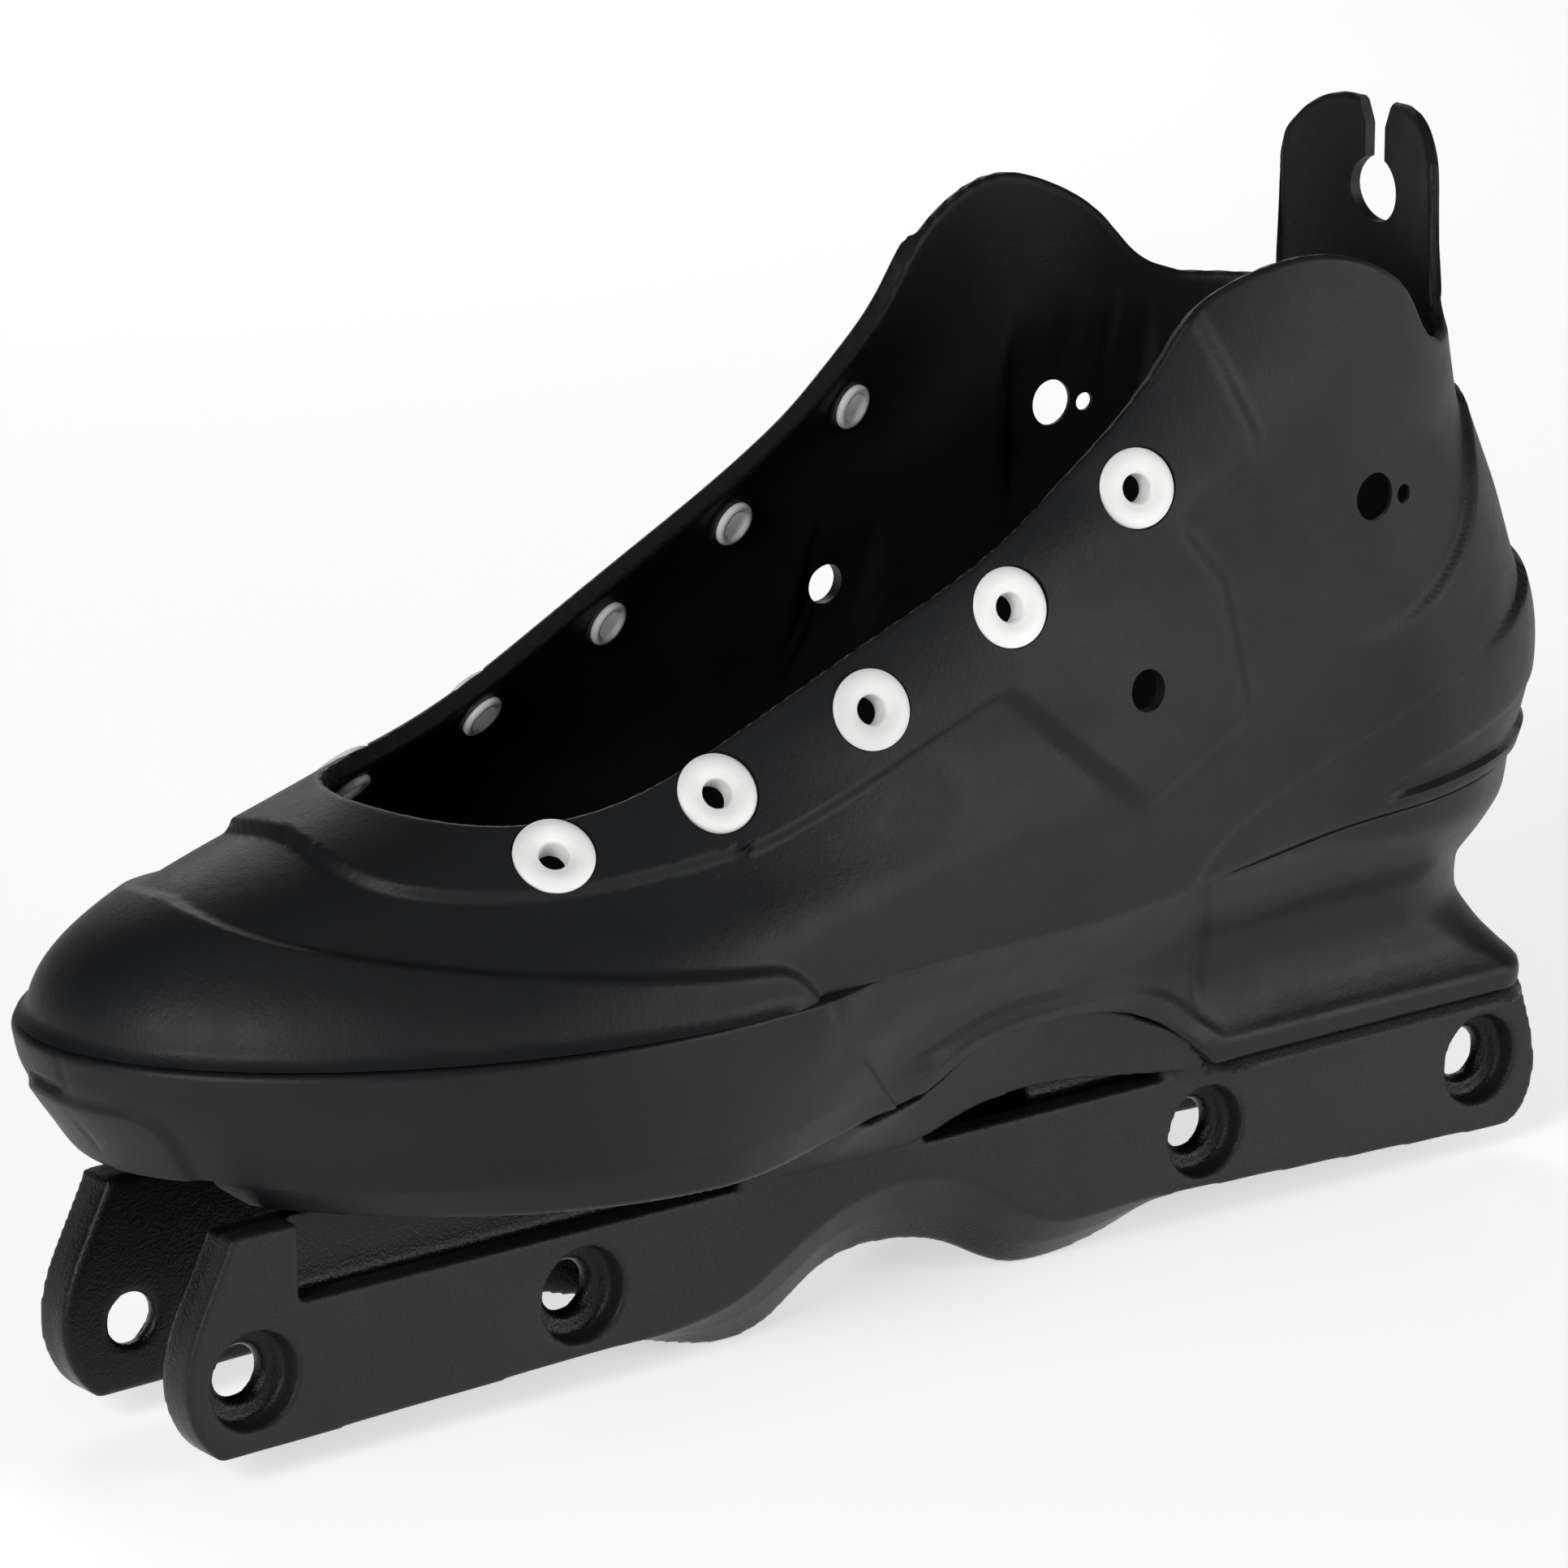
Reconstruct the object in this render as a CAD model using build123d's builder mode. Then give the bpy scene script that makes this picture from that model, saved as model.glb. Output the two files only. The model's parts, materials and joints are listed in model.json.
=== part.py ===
from build123d import *
import os
from math import cos, radians, sin, sqrt

# Left shell of an inline skate with its twin-rail frame, in millimetres.
# +X runs from toe to heel, -Y is the outer (lateral) side and +Z is up.
# The origin is the middle of the bounding box, on the plane the frame stands on.
# Shapes are laid out from a datum on the axle line, halfway between the outer axles.

# ---- driving dimensions ----
datum_x = 1.7             # datum behind the box's middle
datum_z = 17.8            # axle line above the plane the frame stands on
outer_axle = 127.5        # toe and heel axles from the datum
inner_axle = 65.0         # the two middle axles from the datum
rail_outer = 21.2         # outer face of each rail from the middle plane
rail_inner = 13.5         # inner face of each rail
wheel_well_radius = 31.0  # room for a 60 mm wheel
wheel_well_top = 33.0     # ceiling of the wheel wells in the sole

recess_radius = 8.0       # recess for the axle head
recess_depth = 4.3
axle_hole_radius = 4.3
lip_radius = 5.2          # rounded ring at the foot of each recess
lip_depth = 1.2

band_top = 11.0           # top edge of the thick lower band of each rail
web_outer = 16.3          # outer face of the thin web above the band
deck_front = 24.0         # underside of the sole in front of the arch
deck_heel = 13.5          # underside of the heel plate
upright_end = -119.0      # the front upright stays full thickness up to here

wall = 3.5                # wall of the shell
foot_floor_toe = 37.0     # footbed height at the toe
foot_floor_heel = 47.0    # footbed height at the heel
toe_twist = 9.5           # the toe tip lies this far toward the inner side
seam_gap = 0.02           # parting gap between sole and upper

flange_radius = 6.5       # lace grommet flange
barrel_radius = 3.15
eyelet_radius = 3.2       # eyelet hole in the shell
lace_hole_radius = 2.4
washer_radius = 5.0
washer_thickness = 0.8
flange_height = 1.1
roll_height = 1.1

seat_depth = 0.5          # flange seats are sunk this far into the skin
seat_radius = 6.8
seat_wall = 2.7           # wall left between the flange seat and the washer seat
washer_seat_radius = 6.0

cuff_hole_radius = 4.0
pin_hole_radius = 1.6
strap_hole_radius = 3.5
cuff_hole_at = (81.2, 112.0)   # x and height on both sides
pin_hole_at = (88.1, 111.3)
strap_hole_at = (31.9, 87.8)

collar_height = 134.0
tab_half = 20.5           # half-width of the heel tab
tab_front = 103.0         # the collar and the tab start behind this
tab_fillet = 5.0
tab_shoulder = 155.0      # the tab's edges are straight up to here
tab_top = 167.0
keyhole_height = 151.6
keyhole_radius = 5.7
key_slot_width = 4.8
key_flare = 162.5         # the slot widens above this
key_mouth = 9.0           # width of the slot's mouth

bolt_stations = (-14.0, 18.0)
bolt_radius = 3.0
bolt_head_radius = 5.5
bolt_head_height = 4.0
bolt_clearance = 0.3
bolt_seat = 36.5          # underside of the bolt heads
insert_radius = 4.5
insert_length = 9.0
insert_seats = (22.5, 29.0)   # tops of the inserts, just under the sole
thread_gap = 0.02
hex_socket_radius = 2.8
hex_socket_depth = 2.6
bolt_chamfer = 0.6

well_tail_toe = 5.0       # the wells carry on past the outer axles
well_tail_heel = 40.0
cut_reach = 60.0          # long enough to cut right through the shell


# ---- outer form of the boot ----
# Each level is a horizontal outline: height, toe x, length of the toe curve, half-widths at the
# ball, the waist and the heel, heel x and length of the heel curve.
sole_levels = (
    (24.0, -129.0, 72, 50.5, 27.5, 23.0, 133.5, 30),
    (30.0, -136.0, 80, 50.2, 29.0, 23.0, 133.5, 31),
    (37.0, -140.5, 86, 49.8, 34.0, 25.0, 133.8, 35),
    (44.0, -143.6, 90, 49.6, 41.0, 33.0, 136.0, 42),
    (51.0, -145.0, 90, 49.6, 45.8, 40.0, 137.8, 47),
    (60.0, -145.0, 90, 49.6, 46.0, 41.5, 139.0, 50),
)
upper_levels = (
    (49.0, -144.2, 88, 48.9, 45.5, 39.6, 137.4, 47),
    (56.0, -143.0, 95, 48.6, 45.5, 41.3, 138.3, 49),
    (61.0, -139.5, 105, 48.2, 45.5, 41.7, 139.2, 50),
    (66.0, -134.0, 125, 47.8, 45.3, 42.0, 140.5, 50),
    (71.0, -125.5, 152, 47.3, 45.0, 42.4, 141.2, 50),
    (76.0, -111.0, 145, 47.0, 44.6, 42.7, 141.5, 50),
    (82.0, -92.5, 133, 46.5, 43.8, 42.9, 140.9, 50),
    (86.5, -81.0, 114, 45.0, 43.4, 43.0, 139.4, 50),
    (91.0, -70.5, 94, 43.0, 42.8, 43.0, 137.5, 50),
    (104.0, -48.0, 84, 41.0, 41.5, 43.2, 132.8, 50),
    (120.0, -12.0, 73, 43.0, 43.0, 43.4, 125.3, 50),
    (135.0, 6.0, 71, 44.0, 44.0, 43.8, 122.0, 49),
    (154.0, 22.0, 60, 44.5, 44.5, 44.0, 121.0, 47),
    (172.0, 30.0, 55, 44.5, 44.5, 44.0, 121.0, 47),
)
ball_x = -60.0
waist_x = 15.0
heel_x = 85.0


def smooth(t):
    t = max(0.0, min(1.0, t))
    return t * t * (3 - 2 * t)


def half_width(x, level):
    height, toe, toe_length, ball, waist, heel, back, back_length = level
    if x < waist_x:
        width = ball + (waist - ball) * smooth((x - ball_x) / (waist_x - ball_x))
    else:
        width = waist + (heel - waist) * smooth((x - waist_x) / (heel_x - waist_x))
    toe_part = max(0.0, 1 - (x - toe) / toe_length)
    back_part = max(0.0, 1 - (back - x) / back_length)
    width *= sqrt(max(0.0, 1 - toe_part ** 2))
    return width * sqrt(max(0.0, 1 - back_part ** 2))


def centre_line(x):
    return toe_twist * (max(0.0, -40.0 - x) / 105.0) ** 2


def outline_points(level, inset=0.0):
    height, toe, toe_length, ball, waist, heel, back, back_length = level
    toe += inset
    back -= inset
    inner = (height, toe, toe_length - inset, ball - inset, waist - inset, heel - inset,
             back, back_length - inset)
    shares = (0.012, 0.05, 0.12, 0.24, 0.42, 0.60, 0.76, 0.88, 0.955, 0.99)
    stations = [toe + share * (back - toe) for share in shares]
    outer_side = [(x, centre_line(x) - half_width(x, inner)) for x in stations]
    inner_side = [(x, centre_line(x) + half_width(x, inner)) for x in reversed(stations)]
    return [(toe, centre_line(toe))] + outer_side + [(back, 0.0)] + inner_side


def level_plane(height):
    return Plane((datum_x, 0, datum_z + height))


def boot_outline(level, inset=0.0, drop=0.0):
    with BuildSketch(level_plane(level[0] - drop)) as outline:
        with BuildLine():
            Spline(*outline_points(level, inset), periodic=True)
        make_face()
    return outline.sketch


# Planes at right angles to Y, with x toward the heel and y up from the axle line.
side = Plane((datum_x, 0, datum_z), x_dir=(1, 0, 0), z_dir=(0, -1, 0))


def side_plane(y):
    return side.offset(-y)


# ---- seam between upper and sole, and between sole and frame ----
def seam_height(x):
    return 50.4 + 8.0 * smooth((x - 20.0) / 110.0)


seam_points = [(x, seam_height(x)) for x in (-150, -80, 0, 40, 80, 115, 150)]
arch_points = [(-14, deck_front), (-3, 25.2), (8, 29.3), (22, 31.0), (38, 28.6), (52, 22.4), (63, deck_heel)]

# Rim of the throat and collar, from the front of the throat to the back of the ankle.
rim_front = [(-94.2, 82.4), (-86, 81.1), (-75.4, 80.9), (-61.2, 83.4), (-42.6, 90.7), (-16.6, 102.6),
             (7.7, 114.3), (28.8, 129.2), (39.2, 139.3), (44.5, 146), (55, 152), (68, 154),
             (80, 151), (91, 144), (98.5, 136.0), (104, 134.0)]

# Lace eyelets as x and height on the shell's side, from toe to ankle.
eyelets = ((-75.6, 76.8), (-47.8, 82.9), (-20.1, 92.4), (6.9, 104.8), (32.2, 120.5))


def boot_loft(levels, inset=0.0, drops=None):
    """Solid through the level outlines, moved inward by inset and down by each drop."""
    with BuildPart(mode=Mode.PRIVATE) as form:
        for index, level in enumerate(levels):
            drop = drops[index] if drops else 0.0
            add(boot_outline(level, inset, drop))
        loft()
    return form.part


def side_slab(points, closing, half_span=80.0, smooth_line=True):
    """Solid across the whole width whose side view is a line closed by straight runs."""
    with BuildPart(mode=Mode.PRIVATE) as slab:
        with BuildSketch(side):
            with BuildLine():
                if smooth_line:
                    Spline(*points)
                else:
                    Polyline(*points)
                Polyline(points[-1], *closing, points[0])
            make_face()
        extrude(amount=half_span, both=True)
    return slab.part


def cross_cylinder(x, height, radius, y_from, y_to):
    """Cylinder along Y between two distances from the middle plane."""
    with BuildPart(mode=Mode.PRIVATE) as rod:
        with BuildSketch(side_plane(y_from)):
            with Locations((x, height)):
                Circle(radius)
        extrude(amount=y_from - y_to)
    return rod.part


os.makedirs("parts", exist_ok=True)

# ---- room inside the boot ----
# The roof slopes gently over the toes, so the inner outline also drops there.
roof_drops = (0.0, 1.0, 2.5, 3.2, 3.3, 3.3, 3.0, 2.8, 2.5, 1.6, 0.8, 0.0, 0.0, 0.0)
boot_room = boot_loft(upper_levels, wall, roof_drops)
foot_room = boot_loft(sole_levels, wall)
below_seam = side_slab(seam_points, [(150, -60), (-150, -60)])
above_seam = side_slab([(x, z + seam_gap) for x, z in seam_points], [(150, 260), (-150, 260)])
above_rim = side_slab(rim_front, [(104, 260), (-94.2, 260)])
footbed = [(-150, foot_floor_toe), (-60, foot_floor_toe), (60, foot_floor_heel), (150, foot_floor_heel)]
above_floor = side_slab(footbed, [(150, 260), (-150, 260)], smooth_line=False)

# ---- places on the shell's skin ----
boot_form = boot_loft(upper_levels)


def skin_plane(x, height, sign):
    """Plane on the outer skin at one side of the boot, looking straight out of the skin."""
    start = Vector(datum_x + x, 0, datum_z + height)
    hits = boot_form.find_intersection_points(Axis(start, Vector(0, sign, 0)))
    point, normal = max(hits, key=lambda hit: sign * hit[0].Y)
    along = Vector(0, 0, 1).cross(normal) * -sign
    return Plane(point, x_dir=along, z_dir=normal)


side_names = {-1: "lateral", 1: "medial"}

# ---- upper shell ----
with BuildSketch(Plane((datum_x + tab_front, 0, datum_z), x_dir=(0, 1, 0), z_dir=(1, 0, 0)),
                 mode=Mode.PRIVATE) as above_collar:
    with BuildLine():
        collar_left = Polyline((-70, collar_height), (-tab_half - tab_fillet, collar_height))
        corner_left = TangentArc(collar_left @ 1, (-tab_half, collar_height + tab_fillet), tangent=(1, 0))
        Line(corner_left @ 1, (-tab_half, tab_shoulder))
        ThreePointArc((-tab_half, tab_shoulder), (-17.2, 162.8), (-9, tab_top))
        Line((-9, tab_top), (9, tab_top))
        ThreePointArc((9, tab_top), (17.2, 162.8), (tab_half, tab_shoulder))
        edge_right = Line((tab_half, tab_shoulder), (tab_half, collar_height + tab_fillet))
        corner_right = TangentArc(edge_right @ 1, (tab_half + tab_fillet, collar_height), tangent=(0, -1))
        Polyline(corner_right @ 1, (70, collar_height), (70, 240), (-70, 240), (-70, collar_height))
    make_face()

with BuildPart() as upper_shell:
    add(boot_form)
    add(boot_room, mode=Mode.SUBTRACT)
    add(above_seam, mode=Mode.INTERSECT)
    add(above_rim, mode=Mode.SUBTRACT)
    extrude(above_collar.sketch, amount=cut_reach, mode=Mode.SUBTRACT)
    # Keyhole in the heel tab, open at the top through a slot with a flared mouth.
    with BuildSketch(Plane((datum_x + tab_front, 0, datum_z), x_dir=(0, 1, 0), z_dir=(1, 0, 0))):
        with Locations((0, keyhole_height)):
            Circle(keyhole_radius)
        with BuildLine():
            Polyline((-key_slot_width / 2, keyhole_height), (-key_slot_width / 2, key_flare),
                     (-key_mouth / 2, tab_top + 1), (key_mouth / 2, tab_top + 1),
                     (key_slot_width / 2, key_flare), (key_slot_width / 2, keyhole_height), close=True)
        make_face()
    extrude(amount=cut_reach, mode=Mode.SUBTRACT)
    for sign in (-1, 1):
        # Cuff pivot hole with its pin hole, and the strap hole lower on the side.
        for place, radius in ((cuff_hole_at, cuff_hole_radius), (pin_hole_at, pin_hole_radius),
                              (strap_hole_at, strap_hole_radius)):
            add(cross_cylinder(*place, radius, sign * 30, sign * cut_reach), mode=Mode.SUBTRACT)
        for x, height in eyelets:
            seat = skin_plane(x, height, sign)
            with BuildSketch(seat.offset(-seat_depth)):
                Circle(seat_radius)
            extrude(amount=3, mode=Mode.SUBTRACT)
            with BuildSketch(seat.offset(-seat_depth - seat_wall)):
                Circle(washer_seat_radius)
            extrude(amount=-5, mode=Mode.SUBTRACT)
            with BuildSketch(seat):
                Circle(eyelet_radius)
            extrude(amount=-8, mode=Mode.SUBTRACT)
upper_shell.part.label = "upper_shell"
export_step(upper_shell.part, "parts/upper_shell.step")

# ---- lace grommets and their washers ----
for sign in (-1, 1):
    for number, (x, height) in enumerate(eyelets, start=1):
        seat = skin_plane(x, height, sign).offset(-seat_depth)
        axis_line = Axis(seat.origin, seat.z_dir)
        section = Plane(seat.origin, x_dir=seat.x_dir, z_dir=seat.y_dir * -1)
        under = seat_wall + washer_thickness
        with BuildPart() as grommet:
            with BuildSketch(section):
                with BuildLine():
                    Polyline((barrel_radius, 0), (flange_radius, 0), (flange_radius, 0.3))
                    ThreePointArc((flange_radius, 0.3), (flange_radius - 1.9, flange_height),
                                  (lace_hole_radius + 0.7, 0.75))
                    ThreePointArc((lace_hole_radius + 0.7, 0.75), (lace_hole_radius + 0.18, 0.45),
                                  (lace_hole_radius, 0))
                    Line((lace_hole_radius, 0), (lace_hole_radius, -under - roll_height * 0.5))
                    ThreePointArc((lace_hole_radius, -under - roll_height * 0.5),
                                  (lace_hole_radius + 0.6, -under - roll_height),
                                  (barrel_radius + 0.75, -under))
                    Polyline((barrel_radius + 0.75, -under), (barrel_radius, -under), (barrel_radius, 0))
                make_face()
            revolve(axis=axis_line)
        grommet.part.label = f"lace_grommet_{side_names[sign]}_{number}"
        export_step(grommet.part, f"parts/{grommet.part.label}.step")

        with BuildPart() as washer:
            with BuildSketch(seat.offset(-under)):
                Circle(washer_radius)
                Circle(eyelet_radius, mode=Mode.SUBTRACT)
            extrude(amount=washer_thickness)
        washer.part.label = f"grommet_washer_{side_names[sign]}_{number}"
        export_step(washer.part, f"parts/{washer.part.label}.step")

# ---- wheel wells, shared by the sole and the frame ----
with BuildPart(mode=Mode.PRIVATE) as wheel_wells:
    for end in (-1, 1):
        with BuildSketch(side_plane(rail_inner)):
            for axle in (inner_axle, outer_axle):
                with Locations((end * axle, 0)):
                    Circle(wheel_well_radius)
            with Locations((end * (inner_axle + outer_axle) / 2, 0)):
                Rectangle(outer_axle - inner_axle, 2 * wheel_well_top)
        extrude(amount=2 * rail_inner)
    for end, length in ((-1, well_tail_toe), (1, well_tail_heel)):
        with BuildSketch(side_plane(rail_inner)):
            with Locations((end * (outer_axle + length / 2), -10)):
                Rectangle(length, 2 * wheel_well_top - 20)
        extrude(amount=2 * rail_inner)

with BuildPart(mode=Mode.PRIVATE) as frame_zone:
    with BuildSketch(side):
        with BuildLine():
            Polyline((-150, deck_front), arch_points[0])
            Spline(*arch_points, tangents=((1, 0), (1, -1.2)))
            Polyline(arch_points[-1], (150, deck_heel), (150, -60), (-150, -60), (-150, deck_front))
        make_face()
    extrude(amount=80, both=True)

# ---- sole base ----
plate_levels = ((deck_heel, 24.6, 138.2), (18.0, 25.4, 139.0), (23.0, 23.8, 137.0), (31.0, 22.8, 134.0))
plate_front = 44.0
plate_corner = 12.0

with BuildPart(mode=Mode.PRIVATE) as heel_block:
    for height, half, back in plate_levels:
        with BuildSketch(level_plane(height)):
            with Locations(((plate_front + back) / 2, 0)):
                RectangleRounded(back - plate_front, 2 * half, plate_corner)
    loft()

with BuildPart() as sole_base:
    add(boot_loft(sole_levels))
    add(heel_block.part)
    add(foot_room & above_floor, mode=Mode.SUBTRACT)
    add(below_seam, mode=Mode.INTERSECT)
    add(frame_zone.part, mode=Mode.SUBTRACT)
    add(wheel_wells.part, mode=Mode.SUBTRACT)
    for x in bolt_stations:
        with BuildSketch(level_plane(60)):
            with Locations((x, 0)):
                Circle(bolt_radius + bolt_clearance)
        extrude(amount=-60, mode=Mode.SUBTRACT)
        with BuildSketch(level_plane(bolt_seat)):
            with Locations((x, 0)):
                Circle(bolt_head_radius + bolt_clearance)
        extrude(amount=20, mode=Mode.SUBTRACT)
sole_base.part.label = "sole_base"
export_step(sole_base.part, "parts/sole_base.step")

# ---- frame ----
keel_half = 58.0
keel_outer = [(-keel_half, -10.3), (-44, -9.8), (-33, -7.2), (-20, 0.0), (-4, 5.0), (8, 4.2), (20, -1.6),
              (31, -8.3), (44, -9.2), (keel_half, -9.6)]
keel_inner = [(-keel_half, -11.5), (-45, -14.6), (-35, -17.1), (-25, -16.4), (-12, -8.9), (2, -7.5),
              (15, -11.0), (26, -16.6), (37, -17.7), (keel_half, -12.5)]
keel_flat = 14.0
flare_root = 15.0
# x, half-width and height at the seam, half-width and height at the foot
flare_stations = (
    (-34, 28.0, 25.0, 21.0, 10.8),
    (-20, 40.0, 25.0, 21.3, 10.9),
    (-8, 36.5, 26.0, 21.8, 11.2),
    (3, 32.5, 29.0, 22.4, 12.4),
    (14, 29.0, 32.0, 23.0, 15.8),
    (26, 27.2, 32.5, 23.4, 16.6),
    (38, 26.2, 31.0, 23.4, 15.6),
    (50, 25.4, 25.5, 22.8, 13.4),
    (63, 24.6, 15.0, 21.6, 11.0),
)
heel_lip_half = 24.4
heel_lip_back = 137.0
heel_lip_corner = 10.0
heel_lip_height = 2.6
heel_lip_taper = 40.0
pocket_mouth = 30.0
pocket_back = 15.5
pocket_deep = 7.0
pocket_floor = 11.4


def keel_outline(y, bottom):
    with BuildSketch(side_plane(y), mode=Mode.PRIVATE) as outline:
        with BuildLine():
            Spline(*bottom)
            Polyline(bottom[-1], (keel_half, band_top), (-keel_half, band_top), bottom[0])
        make_face()
    return outline.sketch


def front_edge():
    """Front edge of a rail, from the underside of the sole to its lower corner."""
    return Spline((-131.0, deck_front), (-137.5, 10.7), (-140.0, 1.0), (-138.4, -6.2), (-133.5, -12.0))


def rear_edge():
    """Rear edge of a rail, from its lower corner to the heel plate."""
    return Spline((131.0, -13.2), (137.4, -11.3), (140.4, -5.0), (140.2, 1.0), (137.4, 10.7))


with BuildPart() as frame:
    # Thick lower band of each rail, ahead of and behind the grooved middle.
    for sign in (-1, 1):
        outer_face = side_plane(sign * rail_outer)
        depth = sign * (rail_outer - rail_inner)
        with BuildSketch(outer_face):
            with BuildLine():
                Line((upright_end, deck_front), (-131.0, deck_front))
                front_edge()
                Polyline((-133.5, -12.0), (-keel_half, -10.3), (-keel_half, band_top),
                         (upright_end, band_top), (upright_end, deck_front))
            make_face()
        extrude(amount=depth)
        with BuildSketch(outer_face):
            with BuildLine():
                Line((keel_half, -9.6), (131.0, -13.2))
                rear_edge()
                Polyline((137.4, 10.7), (136.5, deck_heel), (keel_half, deck_heel), (keel_half, -9.6))
            make_face()
        extrude(amount=depth)
    # Grooved middle: the underside slopes from each outer face down to the two grinding humps.
    for y_pair in ((-rail_outer, -keel_flat), (-keel_flat, keel_flat), (keel_flat, rail_outer)):
        for y in y_pair:
            add(keel_outline(y, keel_inner if abs(y) == keel_flat else keel_outer))
        loft()
    # Thin web above the band, up to the sole.
    with BuildSketch(side_plane(web_outer)):
        with BuildLine():
            Polyline((upright_end, band_top - 2), (upright_end, deck_front), arch_points[0])
            Spline(*arch_points, tangents=((1, 0), (1, -1.2)))
            Polyline(arch_points[-1], (keel_half + 10, deck_heel), (keel_half + 10, band_top - 2),
                     (upright_end, band_top - 2))
        make_face()
    extrude(amount=2 * web_outer)
    # Flared arch wall between the band and the sole, widest at the seam.
    for sign in (-1, 1):
        for x, seam_half, seam_z, foot_half, foot_z in flare_stations:
            with BuildSketch(Plane((datum_x + x, 0, datum_z), x_dir=(0, 1, 0), z_dir=(1, 0, 0))):
                Polygon((sign * flare_root, seam_z), (sign * seam_half, seam_z), (sign * foot_half, foot_z),
                        (sign * flare_root, foot_z), align=None)
        loft(ruled=True)
    # Lip under the heel plate.
    with BuildSketch(level_plane(deck_heel)):
        with Locations(((arch_points[-1][0] + heel_lip_back) / 2, 0)):
            RectangleRounded(heel_lip_back - arch_points[-1][0], 2 * heel_lip_half, heel_lip_corner)
    extrude(amount=-heel_lip_height, taper=-heel_lip_taper)
    add(frame_zone.part, mode=Mode.INTERSECT)
    add(wheel_wells.part, mode=Mode.SUBTRACT)
    for sign in (-1, 1):
        # Pocket between the band's ledge and the foot of the arch wall.
        with BuildSketch(side_plane(sign * pocket_mouth)):
            with BuildLine():
                Spline((3.5, 12.2), (15, 15.9), (28, 16.7), (42, 15.0), (60, 12.2))
                Polyline((60, 12.2), (60, pocket_floor), (3.5, pocket_floor), (3.5, 12.2))
            make_face()
        extrude(amount=sign * (pocket_mouth - pocket_back), mode=Mode.SUBTRACT)
        with BuildSketch(side_plane(sign * pocket_back)):
            with BuildLine():
                Spline((6, 13.0), (15, 15.4), (30, 16.2))
                Polyline((30, 16.2), (30, pocket_floor), (6, pocket_floor), (6, 13.0))
            make_face()
        extrude(amount=sign * (pocket_back - pocket_deep), mode=Mode.SUBTRACT)
        # Axle holes: recess for the axle head, rounded ring, through hole.
        for x in (-outer_axle, -inner_axle, inner_axle, outer_axle):
            add(cross_cylinder(x, 0, recess_radius, sign * 30, sign * (rail_outer - recess_depth)),
                mode=Mode.SUBTRACT)
            add(cross_cylinder(x, 0, lip_radius, sign * 30, sign * (rail_outer - recess_depth - lip_depth)),
                mode=Mode.SUBTRACT)
            add(cross_cylinder(x, 0, axle_hole_radius, sign * 30, sign * 10), mode=Mode.SUBTRACT)
    # Blind holes for the threaded inserts.
    for x, seat in zip(bolt_stations, insert_seats):
        with BuildSketch(level_plane(seat + 10)):
            with Locations((x, 0)):
                Circle(insert_radius)
        extrude(amount=-insert_length - 10, mode=Mode.SUBTRACT)
        with BuildSketch(level_plane(seat)):
            with Locations((x, 0)):
                Circle(bolt_radius + bolt_clearance)
        extrude(amount=-insert_length - 5, mode=Mode.SUBTRACT)
frame.part.label = "frame"
export_step(frame.part, "parts/frame.step")

# ---- cap screws and threaded inserts that hold the frame to the sole ----
for name, x, seat in zip(("front", "rear"), bolt_stations, insert_seats):
    with BuildPart() as bolt:
        with BuildSketch(level_plane(bolt_seat)):
            with Locations((x, 0)):
                Circle(bolt_head_radius)
        extrude(amount=bolt_head_height)
        chamfer(bolt.faces().sort_by(Axis.Z)[-1].edges(), bolt_chamfer)
        with BuildSketch(level_plane(bolt_seat + bolt_head_height)):
            with Locations((x, 0)):
                RegularPolygon(hex_socket_radius, 6)
        extrude(amount=-hex_socket_depth, mode=Mode.SUBTRACT)
        with BuildSketch(level_plane(bolt_seat)):
            with Locations((x, 0)):
                Circle(bolt_radius)
        extrude(amount=seat - insert_length - 2 - bolt_seat)
    bolt.part.label = f"frame_bolt_{name}"
    export_step(bolt.part, f"parts/{bolt.part.label}.step")

    with BuildPart() as insert:
        with BuildSketch(level_plane(seat)):
            with Locations((x, 0)):
                Circle(insert_radius)
                Circle(bolt_radius + thread_gap, mode=Mode.SUBTRACT)
        extrude(amount=-insert_length)
    insert.part.label = f"frame_insert_{name}"
    export_step(insert.part, f"parts/{insert.part.label}.step")
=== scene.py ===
import json
import math

import bmesh
import bpy
import numpy as np
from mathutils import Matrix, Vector, kdtree


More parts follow.
